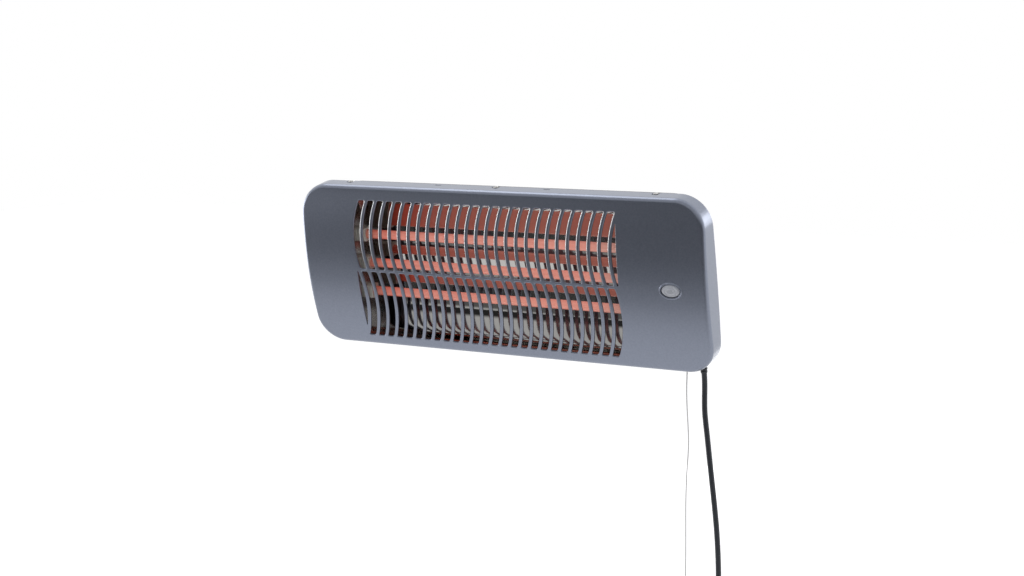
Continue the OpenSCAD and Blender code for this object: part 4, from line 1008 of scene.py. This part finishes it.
def floor_levels(tree):
    """The floor's brightness in reflections, as a node."""
    place = add(tree, "TexCoord")
    parts = add(tree, "SeparateXYZ")
    spread = add(tree, "MapRange", {"From Min": FLOOR_DARK_Y, "From Max": FLOOR_WHITE_Y})
    fade = add(tree, "ValToRGB")
    fade.color_ramp.elements[0].color = (0.14, 0.14, 0.145, 1)
    fade.color_ramp.elements[1].color = (1, 1, 1, 1)
    for y, level in FLOOR_LEVELS:
        spot = (y - FLOOR_DARK_Y) / (FLOOR_WHITE_Y - FLOOR_DARK_Y)
        fade.color_ramp.elements.new(spot).color = (level, level, level, 1)
    far = add(tree, "MapRange", {"From Min": PALE_FROM_Y, "From Max": PALE_TO_Y},
              interpolation_type="SMOOTHSTEP")
    leftward = add(tree, "MapRange", {"From Min": PALE_FROM_X, "From Max": PALE_TO_X, "To Min": 0.0,
                                      "To Max": PALE_LEVEL}, interpolation_type="SMOOTHSTEP")
    pale_left = add(tree, "Math", operation="MULTIPLY")
    brighter = add(tree, "Math", operation="MAXIMUM")
    link = tree.links.new
    link(place.outputs["Object"], parts.inputs[0])
    link(parts.outputs["Y"], spread.inputs["Value"])
    link(spread.outputs["Result"], fade.inputs["Fac"])
    link(parts.outputs["Y"], far.inputs["Value"])
    link(parts.outputs["X"], leftward.inputs["Value"])
    link(far.outputs["Result"], pale_left.inputs[0])
    link(leftward.outputs["Result"], pale_left.inputs[1])
    link(fade.outputs["Color"], brighter.inputs[0])
    link(pale_left.outputs[0], brighter.inputs[1])
    return brighter


def pale_floor():
    """Floor that is white to the camera from above and clear from below."""
    floor = fresh("floor", "plane", size=FLOOR_SIZE, location=(0, 0, FLOOR_Z))
    material = bpy.data.materials.new("floor_pale")
    material.use_nodes = True
    tree = material.node_tree
    shader = tree.nodes["Principled BSDF"]
    shader.inputs["Base Color"].default_value = (0.80, 0.80, 0.80, 1)
    shader.inputs["Roughness"].default_value = 0.9
    shader.inputs["Emission Strength"].default_value = 0.0
    bright = add(tree, "Emission", {"Color": (1, 1, 1, 1), "Strength": 0.55})
    mirrored = add(tree, "Emission")
    clear = add(tree, "BsdfTransparent")
    paths = add(tree, "LightPath")
    sides = add(tree, "NewGeometry")
    lit = add(tree, "AddShader")
    seen, end, above = (add(tree, "MixShader") for _ in range(3))
    link = tree.links.new
    link(floor_levels(tree).outputs[0], mirrored.inputs["Color"])
    link(shader.outputs[0], lit.inputs[0])
    link(bright.outputs[0], lit.inputs[1])
    link(paths.outputs["Is Camera Ray"], seen.inputs["Fac"])
    link(shader.outputs[0], seen.inputs[1])
    link(lit.outputs[0], seen.inputs[2])
    link(paths.outputs["Is Glossy Ray"], end.inputs["Fac"])
    link(seen.outputs[0], end.inputs[1])
    link(mirrored.outputs[0], end.inputs[2])
    link(sides.outputs["Backfacing"], above.inputs["Fac"])
    link(end.outputs[0], above.inputs[1])
    link(clear.outputs[0], above.inputs[2])
    link(above.outputs[0], tree.nodes["Material Output"].inputs["Surface"])
    floor.data.materials.append(material)


def surround():
    """White to the camera, darker toward the front in reflections, and plain for soft light."""
    world = bpy.data.worlds.new("surround")
    bpy.context.scene.world = world
    world.use_nodes = True
    tree = world.node_tree
    link = tree.links.new
    out = tree.nodes["World Output"]
    tree.nodes.remove(tree.nodes["Background"])
    place = add(tree, "TexCoord")
    parts = add(tree, "SeparateXYZ")
    back = add(tree, "MapRange", {"From Min": -0.75, "From Max": -0.1, "To Min": 0.03, "To Max": 1.0},
               interpolation_type="SMOOTHSTEP")
    high = add(tree, "MapRange", {"From Min": 0.08, "From Max": 0.22, "To Min": 0.0, "To Max": 0.6},
               interpolation_type="SMOOTHSTEP")
    fade = add(tree, "Math", operation="MAXIMUM")
    mirrored, soft, white = (add(tree, "Background", {"Color": (1, 1, 1, 1)}) for _ in range(3))
    soft.inputs["Color"].default_value = (0.60, 0.60, 0.62, 1)
    paths = add(tree, "LightPath")
    seen, glossy = add(tree, "MixShader"), add(tree, "MixShader")
    straight = add(tree, "Math", operation="MAXIMUM")
    link(place.outputs["Generated"], parts.inputs[0])
    link(parts.outputs["Y"], back.inputs["Value"])
    link(parts.outputs["Z"], high.inputs["Value"])
    link(back.outputs["Result"], fade.inputs[0])
    link(high.outputs["Result"], fade.inputs[1])
    link(fade.outputs[0], mirrored.inputs["Strength"])
    link(paths.outputs["Is Glossy Ray"], glossy.inputs["Fac"])
    link(soft.outputs[0], glossy.inputs[1])
    link(mirrored.outputs[0], glossy.inputs[2])
    link(paths.outputs["Is Camera Ray"], straight.inputs[0])
    link(paths.outputs["Is Transmission Ray"], straight.inputs[1])
    link(straight.outputs[0], seen.inputs["Fac"])
    link(glossy.outputs[0], seen.inputs[1])
    link(white.outputs[0], seen.inputs[2])
    link(seen.outputs[0], out.inputs["Surface"])


def lamps():
    """Four soft panels: two behind the heater, one at its left and one above."""
    soft_panel("panel_back_right", (1.75, 1.95, 0.65), 0.5, 0.9, 7)
    soft_panel("panel_back_low", (-0.05, 1.7, -0.68), 1.0, 0.6, 3)
    soft_panel("panel_left", (-2.2, -0.20, -0.10), 1.8, 0.9, 13.5)
    soft_panel("panel_above", (-1.1, -0.1, 2.2), 1.6, 1.2, 10)


def soft_panel(name, place, width, height, power):
    """A lamp that faces the heater's middle and that the camera doesn't see."""
    data = bpy.data.lights.new(name, "AREA")
    data.shape = "RECTANGLE"
    data.size, data.size_y = width, height
    data.energy = power
    panel = bpy.data.objects.new(name, data)
    panel.location = place
    away = Vector(place) - Vector((0, -0.1, 0))
    panel.rotation_euler = away.to_track_quat("Z", "Y").to_euler()
    panel.visible_camera = False
    bpy.context.scene.collection.objects.link(panel)


bpy.context.scene.view_settings.view_transform = "Standard"
make_looks()
camera()
lead()
pull_cord()
cover()
pilot()
tubes()
reflector()
caps()
pan()
small_parts()
pale_floor()
surround()
lamps()
